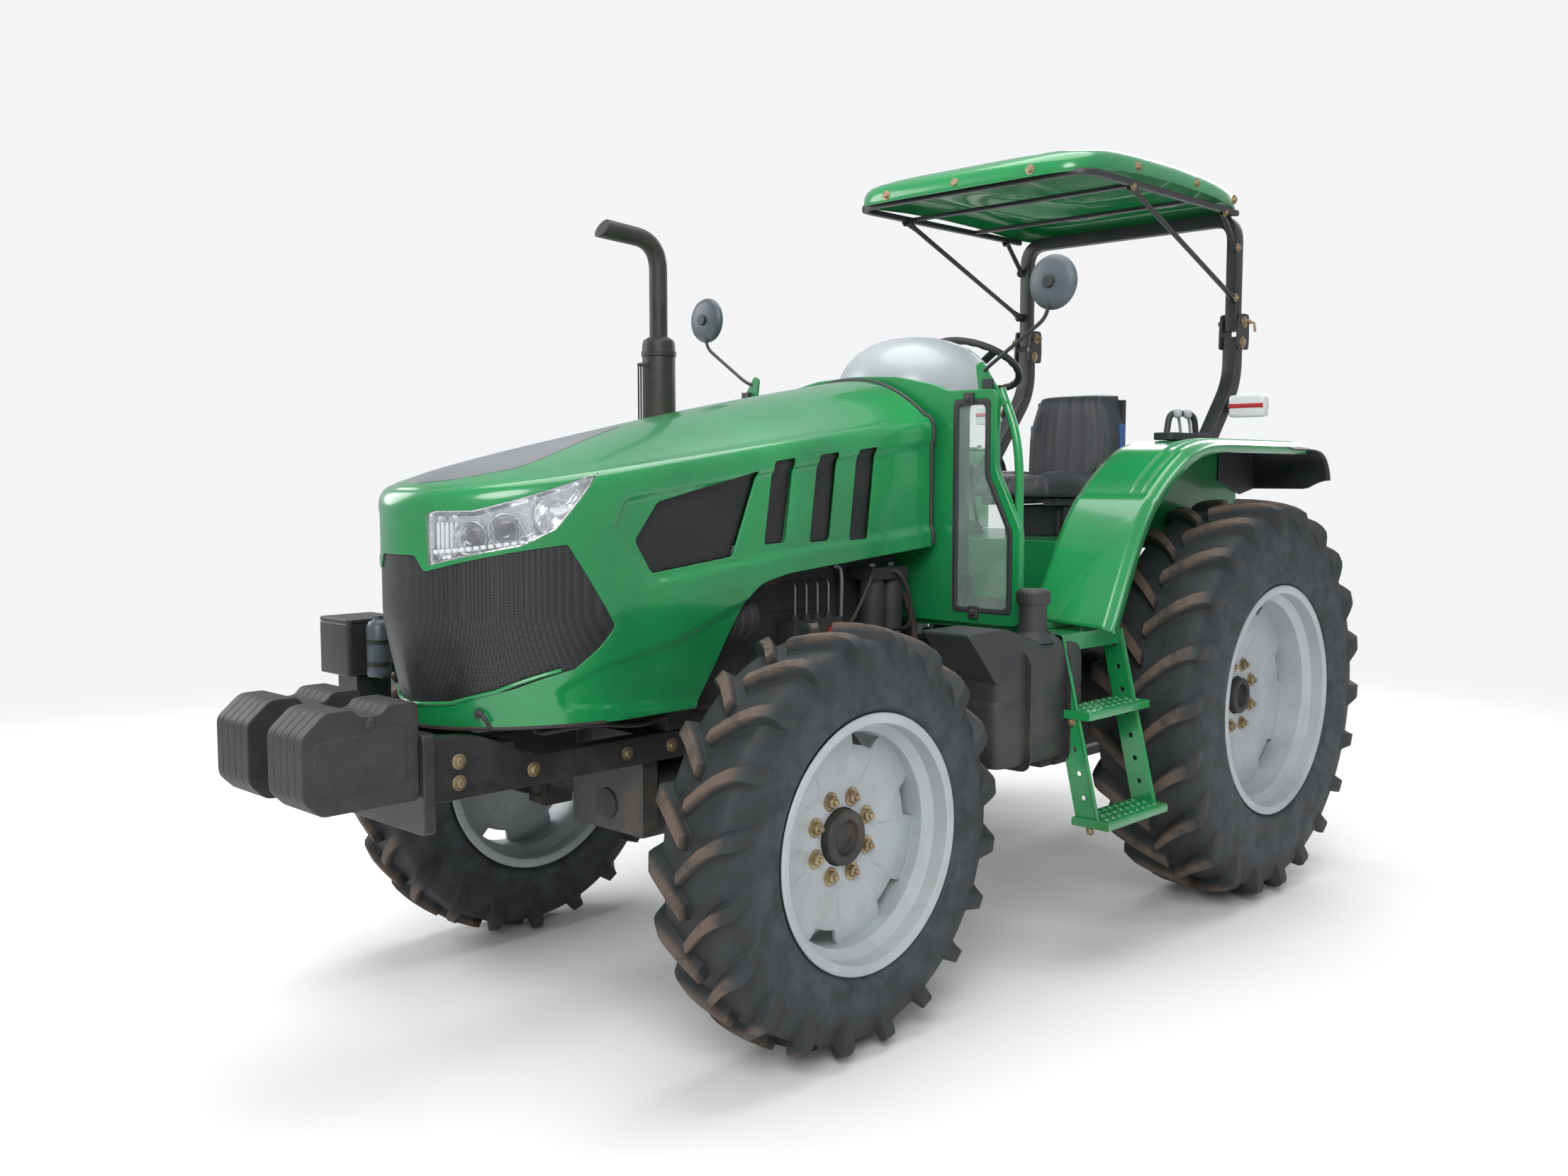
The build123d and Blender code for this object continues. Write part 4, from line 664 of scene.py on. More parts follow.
def hood_surface(inset=0.0, cols=240):
    """Bonnet skin. Round it: an ellipse at the nose that runs into straight sides. Upwards: a flank that
    narrows downwards, a quarter-round lip, then an arch over to the middle line."""
    turn = np.linspace(0, math.pi / 2, cols // 4)
    px, py = HALF_W * np.sin(turn), NOSE + NOSE_REACH * (1 - np.cos(turn))
    run = np.linspace(0, 1, cols // 4 + 1)[1:]
    px = np.concatenate([px, np.full(len(run), HALF_W)])
    py = np.concatenate([py, NOSE + NOSE_REACH + run * (REAR - NOSE - NOSE_REACH)])
    nx = np.concatenate([np.sin(turn) * NOSE_REACH, np.ones(len(run))])
    ny = np.concatenate([-np.cos(turn) * HALF_W, np.zeros(len(run))])
    size = np.hypot(nx, ny)
    nx, ny = nx / size, ny / size
    px, py = np.concatenate([-px[:0:-1], px]), np.concatenate([py[:0:-1], py])
    nx, ny = np.concatenate([-nx[:0:-1], nx]), np.concatenate([ny[:0:-1], ny])
    seam, rows = seam_height(py), []
    side = eased((np.abs(nx) - 0.80) / 0.15)
    for part in np.linspace(0, 1, 70):
        z = CHIN_Z + (seam - LIP_UP - CHIN_Z) * part
        low = np.clip((1.30 - z) / 0.385, 0, 1)
        pull = LIP_LOW * low ** 1.3 * (np.abs(nx) + 1.3 * np.abs(ny)) + side_relief(py, z) * side + inset
        rows.append(np.stack([px - nx * pull, py - ny * pull, z], -1))
    for a in np.linspace(0, math.pi / 2, 9)[1:]:
        pull = LIP_IN * (1 - math.cos(a)) + inset * math.cos(a)
        z = seam - LIP_UP + (LIP_UP - inset) * math.sin(a)
        rows.append(np.stack([px - nx * pull, py - ny * pull, z], -1))
    edge = rows[-1]
    for part in np.linspace(0, 1, 26)[1:]:
        x, y = edge[:, 0] * (1 - part), edge[:, 1] + np.abs(ny) * 0.10 * part
        rise = np.maximum(crown_height(y) - seam_height(y), 0.004) * (1 - (1 - part) ** 2.2)
        rows.append(np.stack([x, y, seam_height(y) + rise - inset], -1))
    return np.stack(rows)


def nose_point(turn, z, inset=0.0):
    """Point on the nose at an angle from the middle, and the direction straight out of it."""
    out = unit(np.array([math.sin(turn) * NOSE_REACH, -math.cos(turn) * HALF_W, 0.0]))
    spot = np.array([HALF_W * math.sin(turn), NOSE + NOSE_REACH * (1 - math.cos(turn)), z])
    return spot - out * (inset + LIP_LOW * max((1.30 - z) / 0.385,
                                               0) ** 1.3 * (abs(out[0]) + 1.3 * abs(out[1]))), out


def both_ways(face, side, radius=0.012):
    """Volume whose front view is one outline and whose side view is another."""
    front = Form().prism(rounded(face, radius), 1, -3.45, -2.55).mesh()
    return carved(front, Form().prism(rounded(side, radius), 0, -0.6, 0.6).mesh(), "INTERSECT")


def lamp_tray():
    """Dished tray behind the lens: it follows the nose between the lamp's lower and upper lines, and its
    depth rises smoothly from the rim and is broken by upright facets."""
    turn = np.linspace(0.315, 1.372, 80)[:, None]
    x, y = HALF_W * np.sin(turn), NOSE + NOSE_REACH * (1 - np.cos(turn))
    top = np.minimum(np.interp(x, [0.122, 0.45], [1.580, 1.71]),
                     np.interp(y, [-3.5, -3.160, -2.838], [1.585, 1.590, 1.694]))
    base = np.maximum(np.interp(x, [0.122, 0.45], [1.436, 1.530]),
                      np.interp(y, [-3.2, -2.968, -2.838], [1.42, 1.536, 1.694]))
    part = np.linspace(0, 1, 24)[None]
    z = base + (np.maximum(top, base + 0.002) - base) * part
    near = np.minimum(np.minimum(z - base, top - z), 0.5 * np.minimum(turn - 0.315, 1.372 - turn))
    depth = 0.0095 + 0.038 * eased(np.maximum(near,
                                              0) / 0.016) - 0.004 * np.abs(np.sin(24 * turn)) * (near > 0.012)
    out = unit(np.concatenate([np.sin(turn) * NOSE_REACH, -np.cos(turn) * HALF_W], -1))
    return np.stack([x - out[:, :1] * depth, y - out[:, 1:] * depth, z], -1)


def hood_slots():
    """Side outlines of the vent and of the three slanted slots."""
    lines = [VENT]
    for y in (-2.095, -1.885, -1.690):
        rise = 0.1 * (y + 2.095)
        lines.append([(y - 0.050, 1.730 + rise), (y + 0.048, 1.742 + rise), (y + 0.008, 1.470),
                      (y - 0.090, 1.466)])
    return lines


def build_bonnet(mats):
    """Bonnet skin with its openings, mesh panels, lamps, top insert, seal, bead and latch."""
    face = GRILLE_FACE + [(-x, z) for x, z in reversed(GRILLE_FACE[1:-1])]
    grille = both_ways(face, GRILLE_SIDE)
    lamp = both_ways(LAMP_FACE, LAMP_SIDE, 0.008)
    twin = both_ways([(-x, z) for x, z in LAMP_FACE], LAMP_SIDE, 0.008)
    drop = Form().prism(rounded(INSERT, 0.07, 9), 2, 1.5, 2.1).mesh()
    sides, windows = Form(), Form()
    sides.prism(rounded(ARCH, 0.03), 0, -0.5, 0.5)
    for line in hood_slots():
        for x0, x1 in ((-0.5, -0.3), (0.3, 0.5)):
            sides.prism(rounded(line, 0.014), 0, x0, x1)
            windows.prism(rounded(line, 0.014), 0, x0, x1)
    skin = carved(Form().grid(hood_surface()).mesh(), sides.mesh(), "DIFFERENCE", 0.007)
    for tool in (grille, lamp, twin, drop):
        skin = carved(skin, tool.copy())
    piece("bonnet_skin", skin, "hood", mats["green"], ["hood_shell"], angle=36)

    def panel(name, tool, inset, wall, key, replaces=()):
        surface = Form().grid(hood_surface(inset)).mesh()
        return piece(name, carved(surface, tool, "INTERSECT", wall), "hood", mats[key], replaces,
                     angle=36)

    panel("bonnet_grille", grille.copy(), 0.005, 0.004, "mesh", ["grille_mesh"])
    panel("bonnet_vents", windows.mesh(), 0.0155, 0.003, "mesh", ["hood_mesh"])
    panel("bonnet_insert", drop.copy(), -0.0015, 0.006, "insert", ["hood_insert"])
    panel("lamp_lens_left", lamp.copy(), 0.001, 0.003, "lens", ["headlamps"])
    panel("lamp_lens_right", twin.copy(), 0.001, 0.003, "lens")
    piece("lamp_trays", Form().grid(lamp_tray()).mirrored(), "hood", mats["chrome"], angle=30,
          wall=0.002)
    lights, dark, beads = Form(), Form(), Form()
    for turn, z, size in ((0.60, 1.515, 0.044), (0.82, 1.535, 0.044), (1.10, 1.572, 0.050)):
        spot, out = nose_point(turn, z, 0.046)
        lights.turned([(0.004, 0.012), (0.010, size * 0.6), (0.030, size), (0.034, size + 0.003),
                       (0.030, size + 0.004),
                       (0.002, size * 0.65)], spot, out, 40)
        if turn < 1:
            dark.turned([(0.004, 0.0), (0.024, 0.0), (0.022, 0.012), (0.012, 0.020), (0.004, 0.021)][::-1],
                        spot, out, 32)
    for k in range(22):
        turn = 0.36 + 0.98 * k / 21
        spot, out = nose_point(turn, 1.463 + 0.050 * (k / 21) ** 1.2 + 0.012, 0.016)
        beads.pebble(spot, (0.0085, 0.0085, 0.007), 0.7, 8, 12)
    for k in range(5):
        spot, out = nose_point(0.36 + 0.035 * k, 1.518, 0.030)
        beads.pebble(spot, (0.0045, 0.0045, 0.040), 0.5, 10, 10)
    piece("lamp_reflectors", lights.mirrored(), "hood", mats["chrome"], angle=40)
    piece("lamp_projectors", dark.mirrored(), "hood", mats["gloss"], angle=40)
    piece("lamp_beads", beads.mirrored(), "hood", mats["marker"], angle=40)

    rim = hood_surface(-0.001)
    band = np.concatenate([rim[:, -1], rim[::-1, 0]])
    band = band[(band[:, 2] > 1.44)]
    piece("bonnet_rear_seal", Form().bar(band + (0, 0.003, 0), 0.0085, 8), "hood",
          mats["plastic"])
    low = np.array([nose_point(t, CHIN_Z + 0.002, 0.004)[0] for t in np.linspace(-1.45, 1.45, 60)])
    piece("bonnet_chin_trim", Form().bar(low, 0.007, 8), "hood", mats["rubber"])
    t = np.linspace(-1.14, 1.14, 90)
    line = np.interp(np.abs(HALF_W * np.sin(t)), [p[0] for p in reversed(GRILLE_FACE[4:])],
                     [p[1] for p in reversed(GRILLE_FACE[4:])])
    bead = np.array([nose_point(a, z - 0.005, -0.001)[0] for a, z in zip(t, line)])
    piece("bonnet_grille_bead", Form().bar(bead, 0.0058, 10), "hood", mats["green"])
    latch = Form()
    spot, out = nose_point(0.62, 1.022, 0.0)
    latch.bar([spot - out * 0.002, spot + out * 0.014], 0.013, 14)
    latch.bar(smooth_curve([spot + out * 0.010 + (0, 0, 0.004), spot + out * 0.017 + (0.014, 0.012, -0.010),
                            spot + out * 0.010 + (0.022, 0.022, -0.038)], 9), 0.006, 10)
    piece("bonnet_latch", latch, "hood", mats["plastic"])
    hinge = Form()
    for side in (-1, 1):
        hinge.prism(rounded([(-1.366, 1.990), (-1.344, 1.990), (-1.344, 2.012), (-1.366, 2.020)], 0.006), 0,
                    *span(side, 0.054, 0.066))
    piece("bonnet_hinge_ears", hinge, "hood", mats["black"], bevel=0.001)


# ------------------------------------------------------------ canopy and roll-over frame
ROOF_Y, ROOF_A, ROOF_B, ROOF_Z = 0.010, 0.600, 0.710, 2.850


def roof_edge(y):
    """Height of the canopy's lower edge: a shallow arch from front to rear."""
    t = (y - ROOF_Y) / ROOF_B
    return ROOF_Z - 0.012 + 0.045 * (1 - np.abs(t) ** 2.2)


def roof_surface():
    """Canopy. Plan: a superellipse. Upwards: a fascia with a rolled foot, a rounded shoulder, then a low
    front hump and a higher rear dome, each a smooth step of the distance from its own ellipse."""
    a = np.linspace(0, TAU, 200, endpoint=False)
    bend = lambda t: np.sign(t) * np.abs(t) ** 0.30
    ux, uy = bend(np.cos(a)), bend(np.sin(a))
    rows = []
    for r, up in ((0.985, -0.004), (0.995, -0.006), (1.0, 0.0), (1.0, 0.014), (0.996, 0.036), (0.984, 0.054),
                  (0.962, 0.068), (0.930, 0.077)):
        y = ROOF_Y + ROOF_B * r * uy
        rows.append(np.stack([ROOF_A * r * ux, y, roof_edge(y) + up * np.ones_like(a)], -1))
    for r in np.linspace(0.895, 0.0, 44):
        x, y = ROOF_A * r * ux, ROOF_Y + ROOF_B * r * uy
        z = ROOF_Z + 0.033 + 0.045 * (1 - ((y - ROOF_Y) / ROOF_B) ** 2) + 0.044 - 0.028 * r ** 2
        dome = 1 - ((x / 0.560) ** 2 + ((y - 0.175) / 0.515) ** 2)
        hump = 1 - ((x / 0.520) ** 4 + ((y + 0.500) / 0.150) ** 4)
        groove = np.exp(-((y + 0.335) / 0.022) ** 2) * eased((0.53 - np.abs(x)) / 0.06)
        ribs = 0.004 * np.exp(-((np.abs(x) - 0.20) / 0.012) ** 2) * eased(dome / 0.3)
        z = z + 0.052 * eased(dome / 0.42) + 0.020 * eased(hump / 0.5) - 0.012 * groove + ribs
        rows.append(np.stack([x, y, np.minimum(z, 3.0385)], -1))
    return np.stack(rows)


def strip(form, path, outline, up):
    """Flat outline carried along a path: its first size runs across, its second along up."""
    path, up = np.asarray(path, float), np.asarray(up, float)
    along = unit(np.gradient(path, axis=0))
    side = unit(np.cross(along, up))
    over = np.cross(side, along)
    outline = np.asarray(outline, float)
    across, upward = outline[None, :, :1] * side[:, None], outline[None, :, 1:] * over[:, None]
    return form.tube(path[:, None] + across + upward)


def box_line(w, h, r=0.008):
    """Outline of a rectangular tube with rounded corners."""
    return rounded([(-w / 2, -h / 2), (w / 2, -h / 2), (w / 2, h / 2), (-w / 2, h / 2)], r, 4)


def bolt_form(form, spots, out, size=0.011):
    """Hexagon bolt heads on washers at the spots, all facing the same way."""
    for spot in spots:
        form.turned([(0, 0), (0, size * 1.6), (0.0025, size * 1.6), (0.0025, 0)], spot, out, 16)
        form.turned([(0.0025, 0), (0.0025, size), (0.0105, size), (0.0125, size * 0.75), (0.0125, 0)], spot,
                    out, 6)
    return form


def build_canopy(mats):
    """Canopy shell, its frame and struts, the roll-over posts with their fold brackets, and bolts."""
    shell = Form().grid(roof_surface(), wrap_cols=True)
    piece("canopy_shell_panel", shell, "roof", mats["green"], ["canopy_shell"], angle=50,
          wall=0.006)
    tubes = Form()
    arch = rounded([(-0.55, 0.64, 2.325), (-0.55, 0.64, 2.822), (0.55, 0.64, 2.822), (0.55, 0.64, 2.325)],
                   0.10, 9, False)
    strip(tubes, arch, box_line(0.058, 0.052), (0, 1, 0))
    hoop = rounded([(0.572, 0.60, 2.838), (0.572, -0.640, 2.838), (-0.572, -0.640, 2.838),
                    (-0.572, 0.60, 2.838)], 0.10, 9, False)
    strip(tubes, hoop, box_line(0.026, 0.024, 0.004), (0, 0, 1))
    for y in (-0.25, 0.22):
        strip(tubes, [(-0.57, y, 2.842), (0.0, y, 2.842), (0.57, y, 2.842)], box_line(0.030, 0.016, 0.003),
              (0, 0, 1))
    for side in (-1, 1):
        for a, b in (((0.566, 0.600, 2.470), (0.566, -0.300, 2.826)),
                     ((0.566, 0.610, 2.690), (0.566, 0.480, 2.826))):
            a, b = np.array(a) * (side, 1, 1), np.array(b) * (side, 1, 1)
            flat = np.linspace(0, 1, 15)
            width = 0.011 + 0.006 * (np.abs(flat - 0.5) > 0.44)
            tubes.bar(a + (b - a) * flat[:, None], width, 12)
            tubes.bar([a + (0, 0, 0), a + (0, 0.020, 0)], 0.020, 12)
    piece("canopy_frame", tubes, "roof", mats["black"], ["rops_upper"], bevel=0.001)
    bolts = Form()
    for y in (0.52, 0.18, -0.30):
        z = roof_edge(y) + 0.022
        bolt_form(bolts, [(0.598, y, z)], (1, 0, 0), 0.013)
        bolt_form(bolts, [(-0.598, y, z)], (-1, 0, 0), 0.013)
    bolt_form(bolts, [(x, ROOF_Y - ROOF_B + 0.004, roof_edge(-0.7) + 0.022) for x in (-0.36, 0.0, 0.36)],
              (0, -1, 0), 0.013)
    for side in (-1, 1):
        bolt_form(bolts, [(side * 0.578, 0.600, 2.470), (side * 0.578, -0.300, 2.826),
                          (side * 0.578, 0.610, 2.690),
                          (side * 0.578, 0.480, 2.826)], (side, 0, 0), 0.012)
    piece("canopy_bolts", bolts, "roof", mats["zinc"], angle=25)
    posts = Form()
    for side in (-1, 1):
        x = side * 0.55
        line = rounded([(x, 0.0, 0.955), (x, 0.0, 1.50), (x, 0.30, 1.70), (x, 0.64, 2.10), (x, 0.64, 2.300)],
                       0.10, 8, False)
        strip(posts, line, box_line(0.060, 0.070), (1, 0, 0))
        for s in (-1, 1):
            plate = rounded([(0.598, 2.245), (0.700, 2.245), (0.705, 2.300), (0.700, 2.400), (0.668, 2.405),
                             (0.610, 2.400),
                             (0.600, MIRROR_Z)], 0.016, 5)
            inner = x + s * 0.0355
            posts.prism(plate, 0, min(inner, inner + s * 0.0115), max(inner, inner + s * 0.0115))
        posts.prism(rounded([(x - 0.062, -0.105), (x + 0.062, -0.105), (x + 0.062, 0.105),
                             (x - 0.062, 0.105)], 0.01), 2, 0.90, 0.962)
    piece("rollover_posts", posts, "chassis", mats["black"], ["rops_lower"], bevel=0.0015)
    pins = Form()
    for side in (-1, 1):
        for s in (-1, 1):
            out = (s, 0, 0)
            bolt_form(pins, [(side * 0.55 + s * 0.047, 0.655, 2.365),
                             (side * 0.55 + s * 0.047, 0.640, 2.275)], out, 0.016)
        pins.bar([(side * 0.55 - 0.075, 0.655, 2.365), (side * 0.55 + 0.075, 0.655, 2.365)], 0.011, 14)
        handle = smooth_curve([(side * 0.605, 0.655, 2.365), (side * 0.640, 0.655, 2.360),
                               (side * 0.648, 0.655, 2.320)], 9)
        pins.bar(handle, 0.006, 10)
    piece("rollover_pins", pins, "chassis", mats["zinc"], angle=30)


# ------------------------------------------------------------ fenders
def even(points, n):
    """A bent line's points at n equal steps of its length."""
    run = np.concatenate([[0], np.cumsum(np.linalg.norm(np.diff(points, axis=0), axis=1))])
    at = np.linspace(0, run[-1], n)
    return np.stack([np.interp(at, run, points[:, k]) for k in range(points.shape[1])], -1)


def fender_surface(side):
    """Fender. Along: its side outline, rounded. Across: flat, with a chamfer and a lip at the outer edge,
    a twin rib on the outer third, and a lower corner that leans outwards below a cross crease."""
    line = rounded([(-1.100, 1.165), (-0.880, 1.530), (-0.700, 1.690), (-0.450, FENDER_TOP),
                    (0.480, FENDER_TOP)], 0.24, 24, False)
    path = even(line, 130)
    tang = unit(np.gradient(path, axis=0))
    out = np.stack([-tang[:, 1], tang[:, 0]], -1)
    across = np.concatenate([np.linspace(0.660, 0.838, 10), np.linspace(0.842, 0.930, 56),
                             np.linspace(0.934, 0.975, 16)])
    x = across[None, :] * np.ones((len(path), 1))
    share = np.linspace(0, 1, len(path))[:, None]
    rib = np.exp(-((x - 0.866) / 0.0045) ** 4) + np.exp(-((x - 0.912) / 0.0045) ** 4)
    rib = 0.007 * rib * eased((share - 0.30) / 0.03)
    chamfer = -0.020 * eased((x - 0.938) / 0.037) ** 1.2
    cross = 0.006 * eased((0.295 - share) / 0.012)
    reach = np.clip((x - 0.760 - 0.20 * np.clip(share / 0.29, 0, 1)) / 0.2, 0, 1)
    corner = -0.030 * reach * eased((0.29 - share) / 0.02)
    lift = rib + chamfer + cross + corner
    y = path[:, :1] + out[:, :1] * lift
    z = path[:, 1:] + out[:, 1:] * lift
    lip_y, lip_z = y[:, -1:] - out[:, :1] * 0.030, z[:, -1:] - out[:, 1:] * 0.030
    grid = np.stack([np.hstack([x, x[:, -1:] + 0.0]), np.hstack([y, lip_y]), np.hstack([z, lip_z])], -1)
    return grid * (side, 1, 1), path


def build_fenders(mats):
    """Fender tops with their inner walls, the rear flaps and the bolts that hold them."""
    top, wall, flap, bolts = Form(), Form(), Form(), Form()
    for side in (-1, 1):
        grid, path = fender_surface(side)
        top.grid(grid)
        foot = np.interp(path[:, 0], [-1.10, -0.76, -0.50, 0.48], [1.165, 1.165, 1.420, 1.420])
        inner = np.stack([path, np.stack([path[:, 0], np.minimum(foot, path[:, 1] - 0.004)], -1)], 0)
        part = np.linspace(0, 1, 6)[:, None, None]
        sheet = inner[0][None] * (1 - part) + inner[1][None] * part
        wall.grid(np.concatenate([np.full((*sheet.shape[:2], 1), side * 0.662), sheet], -1))
        back = smooth_curve([(0.30, 1.812), (0.48, 1.812), (0.575, 1.785), (0.628, 1.715), (0.640, 1.625)],
                            30)
        spread = np.linspace(0.655, 1.015, 16)
        x = spread[None, :] * np.ones((30, 1))
        sag = 0.022 * eased((x - 0.93) / 0.085)
        cut = np.minimum(np.arange(30)[:, None] / 29, 1 - 0.16 * eased((x - 0.90) / 0.115))
        y = np.interp(cut * 29, np.arange(30), back[:, 0])
        z = np.interp(cut * 29, np.arange(30), back[:, 1]) - sag
        flap.grid(np.stack([x, y, z], -1) * (side, 1, 1))
        skirt = np.array([(0.30, 1.810), (0.48, 1.810), (0.575, 1.783), (0.628, 1.713), (0.640, 1.625),
                          (0.50, 1.60), (0.30, 1.66)])
        flap.prism(skirt, 0, *span(side, 0.664, 0.669))
        bolt_form(bolts, [(side * x, 0.455, 1.8225) for x in (0.70, 0.80)], (0, 0, 1), 0.010)
        bolt_form(bolts, [(side * 0.70, -1.080, 1.176)], (0, -1, 0), 0.012)
    piece("fender_tops", top, "chassis", mats["green"], ["fenders"], angle=42, wall=0.004)
    piece("fender_inner_walls", wall, "chassis", mats["green"], wall=0.004)
    piece("rear_flaps", flap, "chassis", mats["plastic"], ["fender_flaps"], angle=40,
          wall=0.005)
    piece("fender_bolts", bolts, "chassis", mats["zinc"], angle=25)


# ------------------------------------------------------------ cowl, screens and dash
def ring_form(form, outer, inner, axis, low, high):
    """Flat frame between an outer and an inner outline of as many points, with thickness along an axis."""
    others = [k for k in range(3) if k != axis]
    rows = np.zeros((4, len(outer), 3))
    for row, (line, level) in enumerate(((outer, low), (outer, high), (inner, high), (inner, low))):
        rows[row][:, others] = line
        rows[row][:, axis] = level
    return form.grid(rows, wrap_rows=True, wrap_cols=True)


WINDOW = [(0.462, 1.200), (0.715, 1.200), (0.715, 1.490), (0.618, 1.690), (0.618, 1.950), (0.462, 1.950)]
PANE = [(0.480, 1.218), (0.697, 1.218), (0.697, 1.486), (0.600, 1.686), (0.600, 1.932), (0.480, 1.932)]
COWL_Y = -1.300


def build_cowl(mats):
    """Cowl plate with its openings, framed side screens, pedestal, dash dome, handrails and brackets."""
    side = [(0.750, 1.160), (0.750, 1.500), (0.645, 1.705), (0.645, 1.985), (0.430, 1.985), (0.375, 2.010),
            (0.200, 2.046),
            (0.0, 2.055)]
    outline = rounded(side + [(-x, z) for x, z in reversed(side[:-1])], 0.03)
    plate = Form().prism(outline, 1, COWL_Y, COWL_Y + 0.028).mesh()
    holes = Form()
    for s in (-1, 1):
        holes.prism(rounded([(s * x, z) for x, z in WINDOW], 0.018), 1, COWL_Y - 0.05, COWL_Y + 0.08)
    piece("cowl_plate", carved(plate, holes.mesh()), "chassis", mats["green"], ["cowl"],
          bevel=0.004, segments=3)
    frames, panes, clips = Form(), Form(), Form()
    for s in (-1, 1):
        outer = rounded([(s * x, z) for x, z in WINDOW], 0.018)
        inner = rounded([(s * x, z) for x, z in PANE], 0.022)
        ring_form(frames, outer, inner, 1, COWL_Y - 0.004, COWL_Y + 0.020)
        panes.prism(rounded([(s * x, z) for x, z in PANE], 0.022), 1, COWL_Y + 0.006, COWL_Y + 0.011)
        for x, z in ((0.530, 1.952), (0.560, 1.202)):
            clips.box((s * x - 0.020, COWL_Y - 0.012, z - 0.022), (s * x + 0.020, COWL_Y - 0.001, z + 0.022))
            clips.turned([(0, 0), (0, 0.012), (0.012, 0.010), (0.014, 0.0)], (s * x, COWL_Y - 0.012, z),
                         (0, -1, 0), 16)
    piece("screen_frames", frames, "chassis", mats["plastic"], ["shield_frames"],
          bevel=0.003)
    piece("screen_panes", panes, "chassis", mats["screen"], ["shield_glass"])
    piece("screen_clips", clips, "chassis", mats["plastic"], bevel=0.002)
    body = Form().prism(rounded([(-0.225, -1.272), (0.225, -1.272), (0.215, -0.850), (0.150, -0.825),
                                 (-0.150, -0.825),
                                 (-0.215, -0.850)], 0.05), 2, 1.166, 2.000)
    for k in range(9):
        z = 1.30 + 0.035 * k
        body.box((-0.13, -0.8275, z), (0.13, -0.8215, z + 0.014))
    piece("dash_pedestal", body, "chassis", mats["plastic"], bevel=0.006)
    u = np.linspace(0, math.pi / 2, 26)[:, None]
    v = np.linspace(0, TAU, 72, endpoint=False)[None]
    stretch = 1 + 0.10 * eased((np.sin(v) + 0.2) / 1.2)
    x = 0.300 * np.cos(u) ** 0.86 * np.cos(v)
    y = -0.935 + 0.330 * np.cos(u) ** 0.86 * np.sin(v) * stretch
    z = 2.000 + 0.225 * np.sin(u) + 0 * v
    y = np.clip(y, -1.268, -0.640)
    dome = Form().tube(np.stack([x, y, z], -1)[::-1])
    piece("dash_dome", dome, "chassis", mats["grey"], ["instrument_dome"], angle=60)
    rails, ears = Form(), Form()
    for s in (-1, 1):
        route = rounded([(s * 0.716, COWL_Y + 0.045, 1.205), (s * 0.712, COWL_Y + 0.045, 1.800),
                         (s * 0.632, COWL_Y + 0.045, 1.985)], 0.15, 10, False)
        rails.bar(route, 0.0155, 16)
        for x, z in ((0.716, 1.235), (0.655, 1.935)):
            rails.bar([(s * x, COWL_Y + 0.020, z), (s * x, COWL_Y + 0.046, z)], 0.010, 10)
        ears.prism(rounded([(s * 0.628, 1.870), (s * 0.655, 1.955), (s * 0.566, 2.085), (s * 0.538, 2.072),
                            (s * 0.556, 1.960)], 0.012),
                   1, COWL_Y + 0.020, COWL_Y + 0.030)
    piece("hand_rails", rails, "chassis", mats["green"], angle=40)
    piece("mirror_ears", ears, "chassis", mats["green"], bevel=0.002)
    mirrors, heads = Form(), Form()
    for s in (-1, 1):
        y0 = COWL_Y + 0.012
        mirrors.bar(rounded([(s * 0.566, y0 + 0.02, 2.045), (s * 0.600, y0 - 0.004, 2.060),
                             (s * 0.838, y0, 2.215),
                             (s * MIRROR_X, y0 - 0.002, MIRROR_Z)], 0.04, 7, False), 0.0068, 12)
        mirrors.box((s * 0.600 - 0.020, y0 - 0.010, 1.985), (s * 0.600 + 0.020, y0 + 0.006, 2.020))
        mirrors.turned([(-0.014, 0), (-0.014, 0.020), (0.010, 0.024), (0.020, 0.030), (0.020, 0)],
                       (s * MIRROR_X, y0 - 0.010, MIRROR_Z),
                       (0, 1, 0), 24)
        heads.turned([(-0.010, 0.0), (-0.012, 0.030), (-0.006, 0.070), (0.004, 0.088), (0.014, 0.092),
                      (0.019, 0.0915), (0.019, 0.086),
                      (0.013, 0.085), (0.013, 0.0)], (s * MIRROR_X, y0, MIRROR_Z), (0, 1, 0), 56)
    piece("mirror_arms", mirrors, "chassis", mats["black"], ["mirrors"], bevel=0.001)
    piece("mirror_heads", heads, "chassis", mats["slate"], angle=40)


